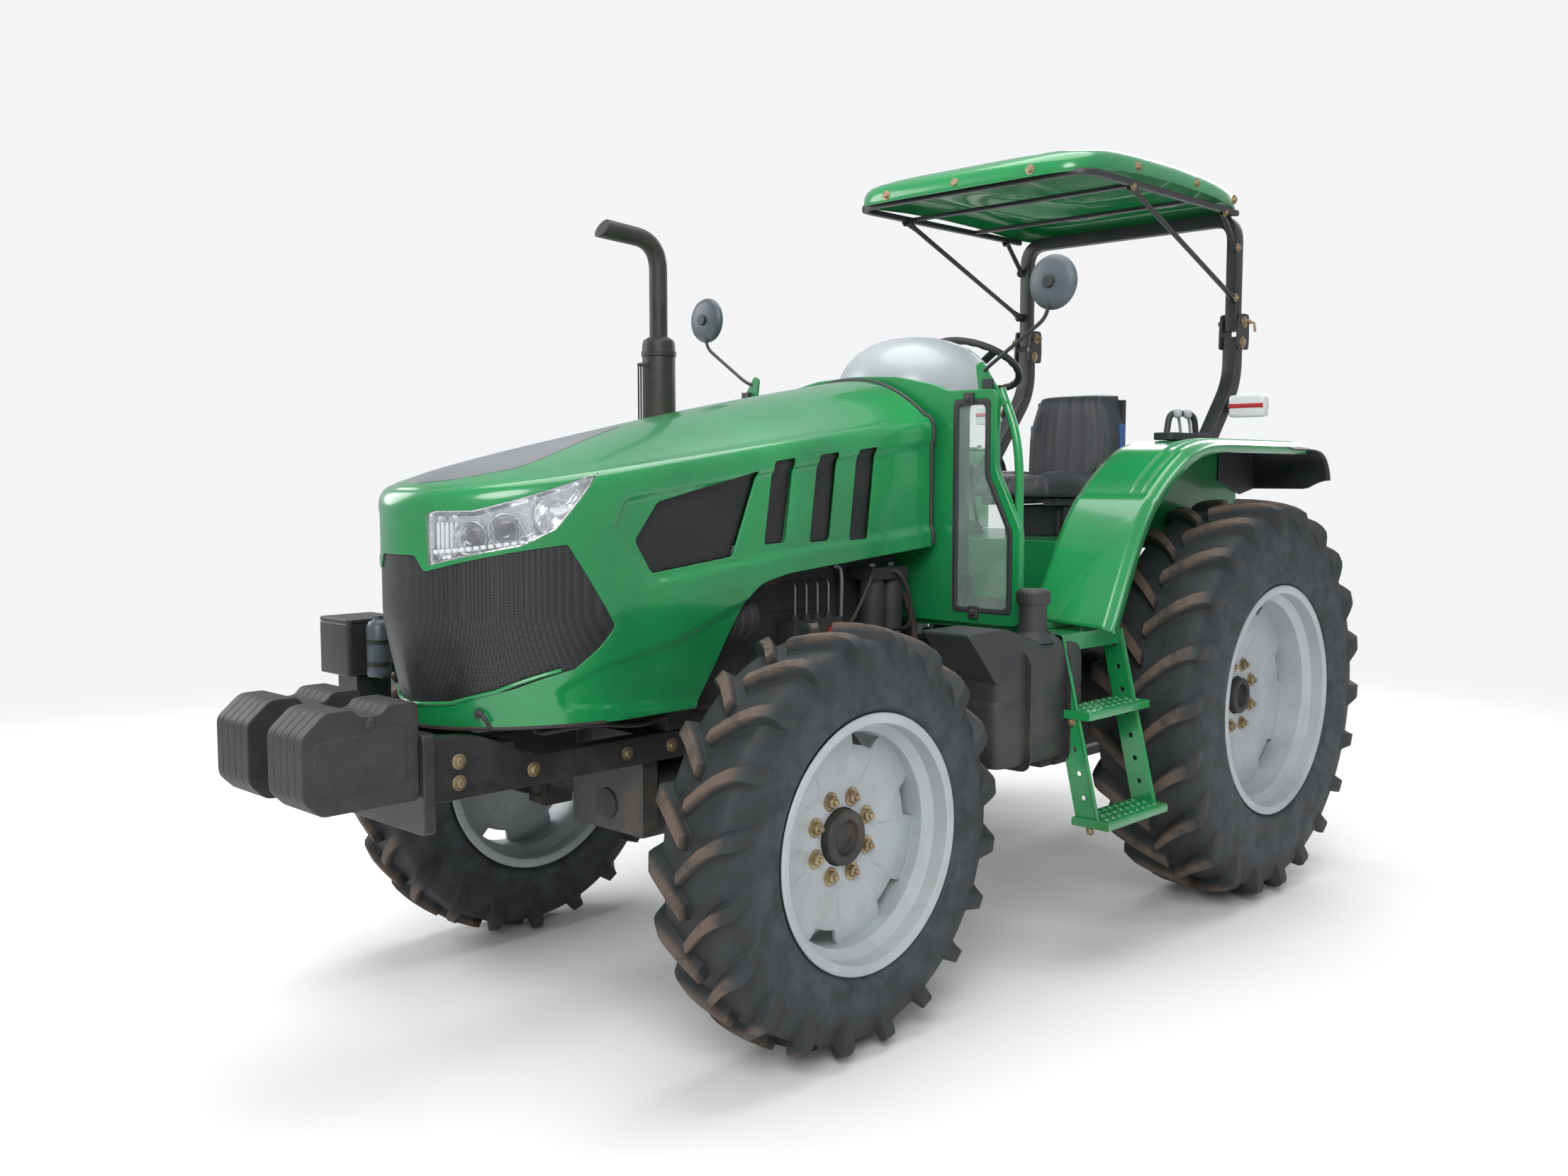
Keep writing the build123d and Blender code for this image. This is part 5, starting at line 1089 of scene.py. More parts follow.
def build_wheel_and_column(mats):
    """Steering wheel with a moulded rim and dished spokes, and its column."""
    tilt = math.radians(28)
    axis = np.array([0, math.sin(tilt), math.cos(tilt)])
    centre = np.array([0.0, -0.550, 2.140])
    side, over = np.array([1.0, 0, 0]), np.cross(axis, [1.0, 0, 0])
    u = np.linspace(0, TAU, 96, endpoint=False)[:, None, None]
    v = np.linspace(0, TAU, 14, endpoint=False)[None, :, None]
    ring = np.cos(u) * side + np.sin(u) * over
    grip = 0.0145 + 0.0012 * np.cos(24 * u) * (np.cos(v) < 0.2)
    wheel = Form().grid(centre + ring * (0.190 + grip * np.cos(v)) + axis * grip * np.sin(v), wrap_rows=True,
                        wrap_cols=True)
    wheel.turned([(-0.045, 0.0), (-0.045, 0.030), (-0.020, 0.042), (0.008, 0.040), (0.014, 0.030),
                  (0.014, 0.0)], centre, axis, 36)
    for a in (90, 210, 330):
        a = math.radians(a)
        out = math.cos(a) * side + math.sin(a) * over
        route = smooth_curve([centre + out * 0.03 - axis * 0.012, centre + out * 0.09 - axis * 0.016,
                              centre + out * 0.150 - axis * 0.006,
                              centre + out * 0.186], 14)
        strip(wheel, route, box_line(0.034, 0.009, 0.004), axis)
    wheel.bar([centre - axis * 0.180, centre - axis * 0.01], 0.017, 16)
    piece("steering_wheel_rim", wheel, "steering_wheel", mats["plastic"],
          ["steering_wheel"], angle=50)


# ------------------------------------------------------------ seat
def pad_surface(width, height, depth, channels, side_bolster, rows=64, cols=72):
    """Closed pad. Front: a pillow of two raised powers with sewn channels and side bolsters; rear: nearly
    flat."""
    v, u = np.meshgrid(np.linspace(-1, 1, rows), np.linspace(-1, 1, cols), indexing="ij")
    pillow = ((1 - np.abs(u) ** 6) * (1 - np.abs(v) ** 6)) ** 0.30
    taper = 1 - 0.16 * eased((v - 0.1) / 0.9)
    x = width / 2 * u * taper * (1 - 0.035 * np.abs(v) ** 4)
    z = height / 2 * (v + 1) * (1 - 0.02 * np.abs(u) ** 4)
    bolster = side_bolster * np.exp(-((np.abs(u) - 0.80) / 0.16) ** 2)
    wave = u * channels + 0.16 * v * v
    groove = 0.0075 * np.exp(-((wave - np.round(wave)) / 0.10) ** 2) * (np.abs(u) < 0.66)
    seam = 0.007 * np.exp(-((np.abs(u) - 0.66) / 0.02) ** 2)
    front = depth * pillow + (bolster - groove - seam) * pillow
    return x, z, front, pillow


def build_seat(mats):
    """Seat back and cushion with sewn channels, piping and side tabs, and the slide frame under them."""
    for name, node, width, height, depth, places in (
            ("seat_back_pad", "seat_back", 0.480, 0.460, 0.075, 0),
                                                     ("seat_base_pad", "seat_cushion", 0.480, 0.480, 0.085,
                                                      1)):
        x, z, front, pillow = pad_surface(width, height, depth, 3.0, 0.028)
        rear = -0.012 * pillow
        form = Form()
        for level, flip in ((front, False), (rear, True)):
            if places:
                grid = np.stack([x, 0.186 - z, 1.596 + level + 0.004 * np.cos(3 * x)], -1)
            else:
                lean = 0.05 * (z / height)
                grid = np.stack([x, 0.248 + lean * 0.5 - level, 1.590 + z], -1)
            form.grid(grid[::-1] if flip else grid)
        obj = piece(name, form, "seat", mats["vinyl"], [node], angle=70)
        sub = obj.modifiers.new("smooth", "SUBSURF")
        sub.levels = sub.render_levels = 1
    shell, tabs = Form(), Form()
    a = np.linspace(-1, 1, 30)
    back = np.stack([a * 0.232, 0.278 + 0.012 * (1 - a ** 2)], -1)
    front = np.stack([a[::-1] * 0.226, 0.262 + 0.012 * (1 - a[::-1] ** 2)], -1)
    shell.prism(np.vstack([back, front]), 2, 1.610, 2.020)
    for s in (-1, 1):
        tabs.prism(rounded([(0.222, 1.800), (0.262, 1.790), (0.262, 1.905), (0.222, 1.915)], 0.010), 0,
                   *span(s, 0.222, 0.2385))
    piece("seat_shell", shell, "seat", mats["plastic"], bevel=0.004)
    piece("seat_side_tabs", tabs, "seat", mats["blue"], bevel=0.003)
    frame_form = Form()
    for s in (-1, 1):
        strip(frame_form, [(s * 0.16, -0.24, 1.570), (s * 0.16, 0.0, 1.570), (s * 0.16, 0.215, 1.570)],
              box_line(0.04, 0.034), (0, 0, 1))
    for y in (-0.20, 0.0, 0.18):
        strip(frame_form, [(-0.19, y, 1.578), (0, y, 1.578), (0.19, y, 1.578)], box_line(0.03, 0.016, 0.003),
              (0, 0, 1))
    piece("seat_slide_frame", frame_form, "seat", mats["black"], ["seat_frame"], bevel=0.001)


# ------------------------------------------------------------ tank, exhaust, lamps and controls
def build_tank(mats):
    """Moulded tank with shoulders, a waist groove, a front lobe, a neck and a ribbed cap."""
    u = np.linspace(0, TAU, 120, endpoint=False)
    bend = lambda t, p: np.sign(t) * np.abs(t) ** p
    cx, cy, hx, hy = 0.770, -1.345, 0.128, 0.265
    rows = []
    for z, grow in ((0.722, 0.86), (0.726, 0.92), (0.740, 0.965), (0.770, 0.99), (0.90, 1.0), (0.938, 1.0),
                    (0.944, 0.982), (0.952, 0.982),
                    (0.958, 1.0), (1.040, 0.995), (1.075, 0.975), (1.100, 0.93), (1.118, 0.86),
                    (1.130, 0.76), (1.138, 0.60), (1.142, 0.3)):
        rows.append(np.stack([cx + hx * grow * bend(np.cos(u), 0.34),
                              cy + hy * (grow * 0.5 + 0.5) * bend(np.sin(u), 0.34),
                              np.full_like(u, z)], -1))
    tank = Form().tube(np.stack(rows))
    lobe = [(-1.600, 1.000), (-1.700, 1.110), (-1.772, 1.186), (-1.560, 1.186), (-1.440, 1.150),
            (-1.420, 1.100), (-1.540, 1.060)]
    tank.prism(rounded(lobe, 0.02), 0, 0.692, 0.878)
    for x in (0.700, 0.840):
        tank.box((x - 0.006, -1.605, 0.78), (x + 0.006, -1.595, 0.93))
    piece("tank_body", tank, "chassis", mats["plastic"], ["fuel_tank"], angle=40,
          bevel=0.006, segments=3)
    neck = Form().turned([(1.120, 0.0), (1.120, 0.072), (1.140, 0.060), (1.155, 0.048), (1.235, 0.046),
                          (1.250, 0.050), (1.250, 0.0)],
                         (0.820, -1.320, 0.0), (0, 0, 1), 48)
    a = np.linspace(0, TAU, 96, endpoint=False)[:, None]
    prof = np.array([(1.248, 0.0), (1.248, 0.052), (1.256, 0.056), (1.290, 0.056), (1.300, 0.048),
                     (1.3015, 0.0)])
    knurl = 1 + 0.035 * (np.cos(24 * a) > 0) * ((prof[None, :, 0] > 1.25) & (prof[None, :, 0] < 1.295))
    pts = np.stack([0.820 + prof[None, :, 1] * knurl * np.cos(a),
                    -1.320 + prof[None, :, 1] * knurl * np.sin(a),
                    np.broadcast_to(prof[None, :, 0], knurl.shape)], -1)
    neck.grid(pts, wrap_rows=True)
    piece("tank_neck_and_cap", neck, "chassis", mats["plastic"], angle=35)
    straps = Form()
    for y in (-1.47, -1.23):
        line = rounded([(0.636, y, 1.09), (0.636, y, 0.716), (0.905, y, 0.716), (0.905, y, 1.08),
                        (0.80, y, 1.150)], 0.03, 6, False)
        strip(straps, line, box_line(0.028, 0.004, 0.001), (0, 1, 0))
    piece("tank_straps", straps, "chassis", mats["black"])


def build_exhaust(mats):
    """Muffler with rolled ends and clamp bands, the stack with its oblique tip, and the lower elbow."""
    x, y = EXHAUST_X, EXHAUST_Y
    form = Form()
    form.turned([(1.440, 0.0), (1.440, 0.044), (1.452, 0.058), (1.470, 0.062), (2.170, 0.062),
                 (2.188, 0.058), (2.200, 0.040), (2.200, 0.0)],
                (x, y, 0), (0, 0, 1), 48)
    for z in (1.500, 2.130):
        form.turned([(z, 0.0615), (z, 0.0655), (z + 0.018, 0.0655), (z + 0.018, 0.0615)], (x, y, 0),
                    (0, 0, 1), 48)
    route = rounded([(x, y, 2.195), (x, y, 2.555), (x, y - 0.265, 2.572)], 0.11, 14, False)
    ring = Form().bar(route, 0.034, 28)
    points = ring.points[0].reshape(len(route), 28, 3).copy()
    points[-1, :, 1] += (points[-1, :, 2] - 2.572) * 0.55
    form.tube(points)
    inner = points.copy()
    mid = inner.mean(1, keepdims=True)
    inner = mid + (inner - mid) * 0.90
    form.grid(inner[::-1], wrap_cols=True)
    form.bar(rounded([(-0.225, y, 1.300), (x, y, 1.300), (x, y, 1.445)], 0.09, 10, False), 0.040, 24)
    form.prism(rounded([(y - 0.255, 1.258), (y + 0.255, 1.258), (y + 0.255, 1.342), (y - 0.255, 1.342)],
                       0.02), 0, -0.293, -0.226)
    piece("exhaust_stack", form, "chassis", mats["sooty"], ["exhaust"], angle=38)
    guard = Form()
    a = np.linspace(0, TAU, 18, endpoint=False)
    for k in a:
        if math.cos(k - math.radians(200)) > 0.1:
            dx, dy = 0.078 * math.cos(k), 0.078 * math.sin(k)
            guard.bar([(x + dx, y + dy, 1.56), (x + dx, y + dy, 2.10)], 0.0035, 6)
    for z in (1.56, 1.83, 2.10):
        arc = np.array([(x + 0.078 * math.cos(t), y + 0.078 * math.sin(t),
                         z) for t in np.linspace(math.radians(110), math.radians(290), 24)])
        guard.bar(arc, 0.0045, 8)
    piece("exhaust_guard", guard, "chassis", mats["black"])


def build_lamps_and_levers(mats):
    """Side marker lamps with a red band, fender consoles with grab loops, levers and pedals."""
    body, band, stems = Form(), Form(), Form()
    for s in (-1, 1):
        centre = (s * 0.684, 0.535, 1.986)
        body.pebble(centre, (0.081, 0.029, 0.049), 0.22, 22, 44)
        band.prism(rounded([(0.5045, 1.976), (0.566, 1.976), (0.566, 1.998), (0.5045, 1.998)], 0.006), 0,
                   *span(s, 0.606, 0.762))
        stems.bar([(s * 0.585, 0.545, 1.985), (s * 0.612, 0.538, 1.985)], 0.012, 14)
        stems.turned([(0, 0), (0, 0.030), (0.006, 0.034), (0.012, 0.030), (0.012, 0)],
                     (s * 0.596, 0.538, 1.985), (s, 0, 0), 20)
    piece("marker_lamp_bodies", body, "chassis", mats["marker"], ["rear_lamps"], angle=60)
    piece("marker_lamp_bands", band, "chassis", mats["red"], bevel=0.001)
    piece("marker_lamp_stems", stems, "chassis", mats["black"])
    loops, grey = Form(), Form()
    for s in (-1, 1):
        loops.prism(rounded([(s * 0.700, -0.330), (s * 0.790, -0.330), (s * 0.790, -0.020),
                             (s * 0.700, -0.020)], 0.025), 2, 1.823, 1.852)
        loops.bar(rounded([(s * 0.745, -0.055, 1.845), (s * 0.745, -0.075, 1.930),
                           (s * 0.745, -0.275, 1.930), (s * 0.745, -0.295, 1.845)],
                          0.05, 7, False), 0.0125, 14)
        for k, y in enumerate((-0.22, -0.14)):
            grey.bar(smooth_curve([(s * 0.765, y, 1.850), (s * 0.768, y - 0.015, 1.890),
                                   (s * 0.776, y - 0.045, 1.922)], 8), 0.006, 10)
            grey.pebble((s * 0.778, y - 0.050, 1.926), (0.015, 0.015, 0.018), 0.7, 12, 16)
    for x in (-0.330, 0.330):
        loops.turned([(1.420, 0.0), (1.420, 0.034), (1.428, 0.036), (1.440, 0.024), (1.452, 0.026),
                      (1.462, 0.014), (1.470, 0.0)],
                     (x, -0.060, 0), (0, 0, 1), 28)
        loops.bar([(x, -0.060, 1.455), (x, -0.105, 1.600), (x, -0.120, 1.700)], 0.0085, 12)
        loops.pebble((x, -0.121, 1.710), (0.021, 0.021, 0.026), 0.75, 14, 20)
    for x in (-0.320, 0.290, 0.400):
        loops.prism(rounded([(x - 0.033, 1.230), (x + 0.033, 1.230), (x + 0.033, 1.322), (x - 0.033, 1.322)],
                            0.010), 1, -1.150, -1.134)
        for k in range(5):
            loops.box((x - 0.028, -1.134, 1.240 + 0.016 * k), (x + 0.028, -1.131, 1.247 + 0.016 * k))
        loops.bar([(x, -1.150, 1.270), (x, -1.180, 1.170)], 0.010, 10)
    piece("controls_black", loops, "chassis", mats["plastic"], ["controls"], bevel=0.0015)
    piece("controls_levers", grey, "chassis", mats["silver"])


# ------------------------------------------------------------ floor and steps
def build_platform(mats):
    """Floor, riser, deck and seat stand, and the two ladders with drilled sides and ribbed treads."""
    floor = Form()
    floor.prism(rounded([(-0.750, -1.270), (0.750, -1.270), (0.750, -0.930), (0.660, -0.930),
                         (0.660, -0.480), (-0.660, -0.480),
                         (-0.660, -0.930), (-0.750, -0.930)], 0.02), 2, 1.140, FLOOR_TOP)
    floor.box((-0.660, -0.505, 1.160), (0.660, -0.480, 1.420))
    deck = Form().prism(rounded([(-0.660, -0.490), (0.660, -0.490), (0.660, 0.420), (-0.660, 0.420)], 0.02),
                        2, 1.395, DECK_TOP).mesh()
    gaps = Form()
    for s in (-1, 1):
        gaps.box((s * 0.55 - 0.045, -0.040, 1.38), (s * 0.55 + 0.045, 0.040, 1.45))
    piece("station_floor", floor, "chassis", mats["green"], ["platform"], bevel=0.004)
    piece("station_deck", carved(deck, gaps.mesh()), "chassis", mats["green"], bevel=0.003)
    mat = Form().prism(rounded([(-0.640, -1.250), (0.640, -1.250), (0.640, -0.520), (-0.640, -0.520)], 0.04),
                       2, FLOOR_TOP, 1.171)
    for k in range(30):
        mat.box((-0.62 + 0.042 * k, -1.235, 1.171), (-0.600 + 0.042 * k, -0.535, 1.1745))
    piece("floor_mat", mat, "chassis", mats["rubber"])
    stand = Form().prism(rounded([(-0.150, -0.120), (0.150, -0.120), (0.150, 0.200), (-0.150, 0.200)], 0.03),
                         2, DECK_TOP, 1.550)
    for s in (-1, 1):
        for y in (-1.15, -0.60):
            stand.bar([(s * 0.14, y, 1.000), (s * 0.14, y, 1.140)], 0.036, 20)
        for y in (-0.18, 0.10):
            stand.bar([(s * 0.17, y, 1.080), (s * 0.17, y, 1.395)], 0.036, 20)
    piece("seat_stand", stand, "chassis", mats["black"], bevel=0.004)
    sides, edges, treads, bolts, holes = Form(), Form(), Form(), Form(), Form()
    for s in (-1, 1):
        rail = rounded([(s * 0.800, 1.140), (s * 0.880, 1.140), (s * 1.040, 0.490), (s * 0.950, 0.490)], 0.02)
        for y in (-1.230, -0.858):
            sides.prism(rail, 1, y, y + 0.008)
            edge = -1.230 if y < -1 else -0.850
            flange = [(s * 0.884, edge, 1.135), (s * 0.96, edge, 0.82), (s * 1.038, edge, 0.497)]
            edges.bar(flange, 0.006, 8)
        edges.box((s * 0.79 - 0.09, -1.230, 1.080), (s * 0.79 + 0.09, -0.850, 1.140))
        for k in range(7):
            t = 0.10 + 0.125 * k
            holes.bar([(s * (0.845 + 0.150 * t), -1.30, 1.14 - 0.65 * t),
                       (s * (0.845 + 0.150 * t), -0.80, 1.14 - 0.65 * t)], 0.009, 12)
        for x0, x1, z in ((0.855, 1.000, 0.885), (0.935, 1.080, 0.520)):
            a, b = span(s, x0, x1)
            treads.prism(rounded([(a, z - 0.030), (b, z - 0.030), (b, z - 0.006), (b - 0.006, z),
                                  (a + 0.006, z), (a, z - 0.006)], 0.004),
                         1, -1.240, -0.840)
            for i in range(9):
                for j in range(3):
                    spot = (a + 0.030 + 0.042 * j, -1.200 + 0.040 * i, z - 0.001)
                    treads.turned([(0.0, 0.013), (0.004, 0.0115), (0.004, 0.0085), (0.0, 0.008)], spot,
                                  (0, 0, 1), 10)
            bolt_form(bolts, [(s * (x0 + 0.07), -1.232, z - 0.04)], (0, -1, 0), 0.010)
        bolt_form(bolts, [(s * 0.76, -1.231, 1.110), (s * 0.83, -1.231, 1.110)], (0, -1, 0), 0.011)
    piece("step_sides", carved(sides.mesh(), holes.mesh()), "chassis", mats["green"],
          bevel=0.0015)
    piece("step_edges", edges, "chassis", mats["green"])
    piece("step_treads", treads, "chassis", mats["green"], angle=40)
    piece("step_bolts", bolts, "chassis", mats["zinc"], angle=25)


# ------------------------------------------------------------ front end and engine
def build_front(mats):
    """Frame rails with plates and bolts, slab weights with ribbed tops, battery box, reservoir, hoses."""
    frame_form, bolts = Form(), Form()
    frame_form.prism(rounded([(-0.258, 0.722), (0.258, 0.722), (0.258, 0.998), (-0.258, 0.998)], 0.02), 1,
                     -3.340, -3.302)
    for s in (-1, 1):
        x = s * 0.180
        line = rounded([(-3.302, 0.792), (-3.302, 0.980), (-3.120, 0.960), (-2.950, 0.880), (-2.080, 0.880),
                        (-2.080, 0.792)], 0.03)
        frame_form.prism(line, 0, x - 0.029, x + 0.029)
        bolt_form(bolts, [(s * 0.210, y, z) for y, z in ((-3.20, 0.90), (-3.20, 0.84), (-2.95, 0.84),
                                                         (-2.60, 0.836), (-2.42, 0.836),
                                                      (-2.16, 0.836))], (s, 0, 0), 0.014)
    for y0, y1 in ((-2.515, -2.450), (-2.125, -2.080)):
        frame_form.box((-0.178, y0, 0.545), (0.178, y1, 0.878))
    frame_form.box((-0.205, -3.110, 0.878), (0.205, -3.010, 0.930))
    frame_form.prism(rounded([(-0.640, -3.160), (-0.455, -3.160), (-0.455, -2.975), (-0.640, -2.975)],
                             0.015), 2, 1.062, 1.226)
    frame_form.prism(rounded([(-0.642, -3.160), (-0.453, -3.160), (-0.453, -2.973), (-0.642, -2.973)],
                             0.018), 2, 1.226, 1.240)
    frame_form.box((-0.600, -3.120, 0.930), (-0.480, -3.000, 1.062))
    frame_form.box((-0.600, -3.100, 0.930), (-0.150, -3.020, 0.958))
    piece("front_frame_plates", frame_form, "chassis", mats["black"], ["front_frame"],
          bevel=0.004)
    piece("front_frame_bolts", bolts, "chassis", mats["zinc"], angle=25)
    slabs = Form()
    for s in (-1, 1):
        for k in range(5):
            x0 = 0.057 + k * 0.037
            line = rounded([(-3.342, 0.822), (-3.342, 1.088), (-3.430, 1.088), (-3.448, 1.064),
                            (-3.512, 1.064), (-3.530, 1.088),
                            (-3.606, 1.088), (-3.673, 1.030), (-3.673, 0.870), (-3.625, 0.822)], 0.018, 5)
            slabs.prism(line, 0, *span(s, x0, x0 + 0.035))
    for s in (-1, 1):
        slabs.prism(rounded([(-3.640, 0.875), (-3.380, 0.875), (-3.380, 1.030), (-3.640, 1.010)], 0.02), 0,
                    *span(s, 0.2395, 0.2425))
        slabs.bar([(s * 0.05, -3.480, 1.046), (s * 0.245, -3.480, 1.046)], 0.012, 14)
    piece("front_weight_slabs", slabs, "chassis", mats["cast"], ["front_weights"],
          bevel=0.0035, segments=3)
    can = Form().turned([(1.062, 0.0), (1.062, 0.034), (1.070, 0.038), (1.215, 0.038), (1.232, 0.030),
                         (1.240, 0.014), (1.252, 0.014), (1.252, 0)],
                        (-0.412, -3.080, 0), (0, 0, 1), 36)
    piece("reservoir_can", can, "chassis", mats["slate"], angle=40)
    band = Form()
    for z in (1.095, 1.165):
        band.turned([(z, 0.037), (z, 0.0405), (z + 0.014, 0.0405), (z + 0.014, 0.037)], (-0.412, -3.080, 0),
                    (0, 0, 1), 32)
    band.box((-0.455, -3.095, 1.060), (-0.372, -3.060, 1.066))
    piece("reservoir_bands", band, "chassis", mats["black"])
    hoses = Form()
    for s in (-1, 1):
        hoses.bar(smooth_curve([(s * 0.10, -2.170, 0.560), (s * 0.22, -2.190, 0.600),
                                (s * 0.33, -2.120, 0.660), (s * 0.30, -2.05, 0.760),
                                (s * 0.16, -2.03, 0.790)], 40), 0.010, 10)
    for k in range(3):
        x = 0.215 + 0.018 * k
        hoses.bar(smooth_curve([(x, -2.95, 0.950), (x + 0.05, -2.80, 0.962), (x + 0.03, -2.60, 0.935),
                                (x, -2.40, 0.955), (x - 0.01, -2.20, 0.930)], 40),
                  0.008, 8)
    piece("front_pipes", hoses, "chassis", mats["rubber"])


def build_engine(mats):
    """Engine block with ribs, covers and bolts; pump, filters, starter, alternator; hoses, red cap and
    pipes."""
    block = Form()
    block.prism(rounded([(-0.222, 0.602), (0.222, 0.602), (0.222, 1.395), (-0.222, 1.395)], 0.02), 1, -2.078,
                -1.332)
    block.prism(rounded([(-0.222, 0.882), (0.222, 0.882), (0.222, 1.395), (-0.222, 1.395)], 0.02), 1, -2.448,
                -2.070)
    for s in (-1, 1):
        for k in range(5):
            y = -2.36 + 0.215 * k
            low, high = span(s, 0.215, 0.2235)
            block.box((low, y - 0.012, 0.90), (high, y + 0.012, 1.20))
        low, high = span(s, 0.215, 0.2245)
        block.box((low, -2.42, 1.225), (high, -1.36, 1.250))
    piece("engine_casting", block, "chassis", mats["cast"], ["engine_block"], bevel=0.004)
    parts, steel = Form(), Form()
    parts.prism(rounded([(-1.948, 1.082), (-1.702, 1.082), (-1.702, 1.198), (-1.948, 1.198)], 0.012), 0,
                0.222, 0.298)
    for k in range(4):
        y = -1.91 + 0.056 * k
        parts.turned([(1.195, 0), (1.195, 0.014), (1.215, 0.014), (1.215, 0)], (0.263, y, 0), (0, 0, 1), 6)
        steel.bar(rounded([(0.263, y, 1.212), (0.263, y, 1.326), (0.222, y, 1.326)], 0.03, 6, False), 0.0042,
                  8)
    for y in (-1.55, -1.45):
        parts.turned([(1.130, 0.0), (1.130, 0.030), (1.140, 0.043), (1.200, 0.0445), (1.300, 0.0445),
                      (1.310, 0.040), (1.318, 0.040), (1.318, 0)],
                     (0.297, y, 0), (0, 0, 1), 36)
    parts.prism(rounded([(-1.598, 1.318), (-1.402, 1.318), (-1.402, 1.362), (-1.598, 1.362)], 0.010), 0,
                0.222, 0.342)
    parts.turned([(-1.600, 0.0), (-1.600, 0.052), (-1.590, 0.058), (-1.470, 0.058), (-1.466, 0.050),
                  (-1.364, 0.046), (-1.362, 0.0)],
                 (0.285, 0, 0.960), (0, 1, 0), 40)
    parts.bar([(0.285, -1.56, 1.042), (0.285, -1.42, 1.042)], 0.026, 20)
    parts.turned([(-2.300, 0.0), (-2.300, 0.050), (-2.290, 0.070), (-2.185, 0.070), (-2.172, 0.056),
                  (-2.172, 0.0)], (0.300, 0, 1.230), (0, 1, 0), 40)
    parts.turned([(-2.334, 0.0), (-2.334, 0.038), (-2.325, 0.030), (-2.310, 0.030), (-2.302, 0.038),
                  (-2.302, 0.0)], (0.300, 0, 1.230), (0, 1, 0), 36)
    parts.box((0.222, -2.260, 1.180), (0.265, -2.210, 1.280))
    for y in (-2.30, -2.26, -2.22):
        parts.turned([(y, 0.070), (y, 0.0735), (y + 0.012, 0.0735), (y + 0.012, 0.070)], (0.300, 0, 1.230),
                     (0, 1, 0), 40)
    piece("engine_side_parts", parts, "chassis", mats["cast"], ["engine_parts"], bevel=0.002)
    steel.bar(smooth_curve([(0.239, -1.650, 1.000), (0.239, -1.650, 1.180), (0.243, -1.655, 1.345),
                            (0.238, -1.690, 1.372)], 30), 0.009, 12)
    steel.turned([(1.362, 0), (1.362, 0.013), (1.374, 0.013), (1.374, 0)], (0.297, -1.55, 0), (0, 0, 1), 6)
    steel.turned([(1.362, 0), (1.362, 0.013), (1.374, 0.013), (1.374, 0)], (0.297, -1.45, 0), (0, 0, 1), 6)
    piece("engine_bright_pipes", steel, "chassis", mats["steel"])
    hoses = Form()
    hoses.bar(smooth_curve([(0.230, -1.98, 1.34), (0.285, -2.02, 1.352), (0.300, -2.12, 1.330),
                            (0.275, -2.20, 1.350), (0.225, -2.28, 1.352)], 40), 0.019, 16)
    hoses.bar(smooth_curve([(0.235, -1.36, 1.30), (0.300, -1.352, 1.22), (0.330, -1.350, 1.10),
                            (0.318, -1.352, 0.98), (0.250, -1.352, 0.90)], 40), 0.013, 12)
    hoses.bar(smooth_curve([(0.297, -1.505, 1.340), (0.360, -1.480, 1.342), (0.372, -1.430, 1.250),
                            (0.345, -1.400, 1.150), (0.240, -1.390, 1.120)], 40), 0.008, 10)
    hoses.bar(smooth_curve([(0.297, -1.72, 1.14), (0.345, -1.70, 1.20), (0.352, -1.62, 1.33),
                            (0.310, -1.58, 1.345)], 36), 0.006, 8)
    piece("engine_hoses", hoses, "chassis", mats["rubber"])
    cap = Form().turned([(1.395, 0.0), (1.395, 0.026), (1.400, 0.029), (1.418, 0.029), (1.424, 0.020),
                         (1.424, 0.0)], (0.180, -2.02, -0.005), (0, 0, 1), 28)
    cap.turned([(0, 0), (0, 0.020), (0.022, 0.018), (0.024, 0)], (0.298, -1.76, 1.150), (1, 0, 0), 20)
    piece("engine_red_caps", cap, "chassis", mats["red"])


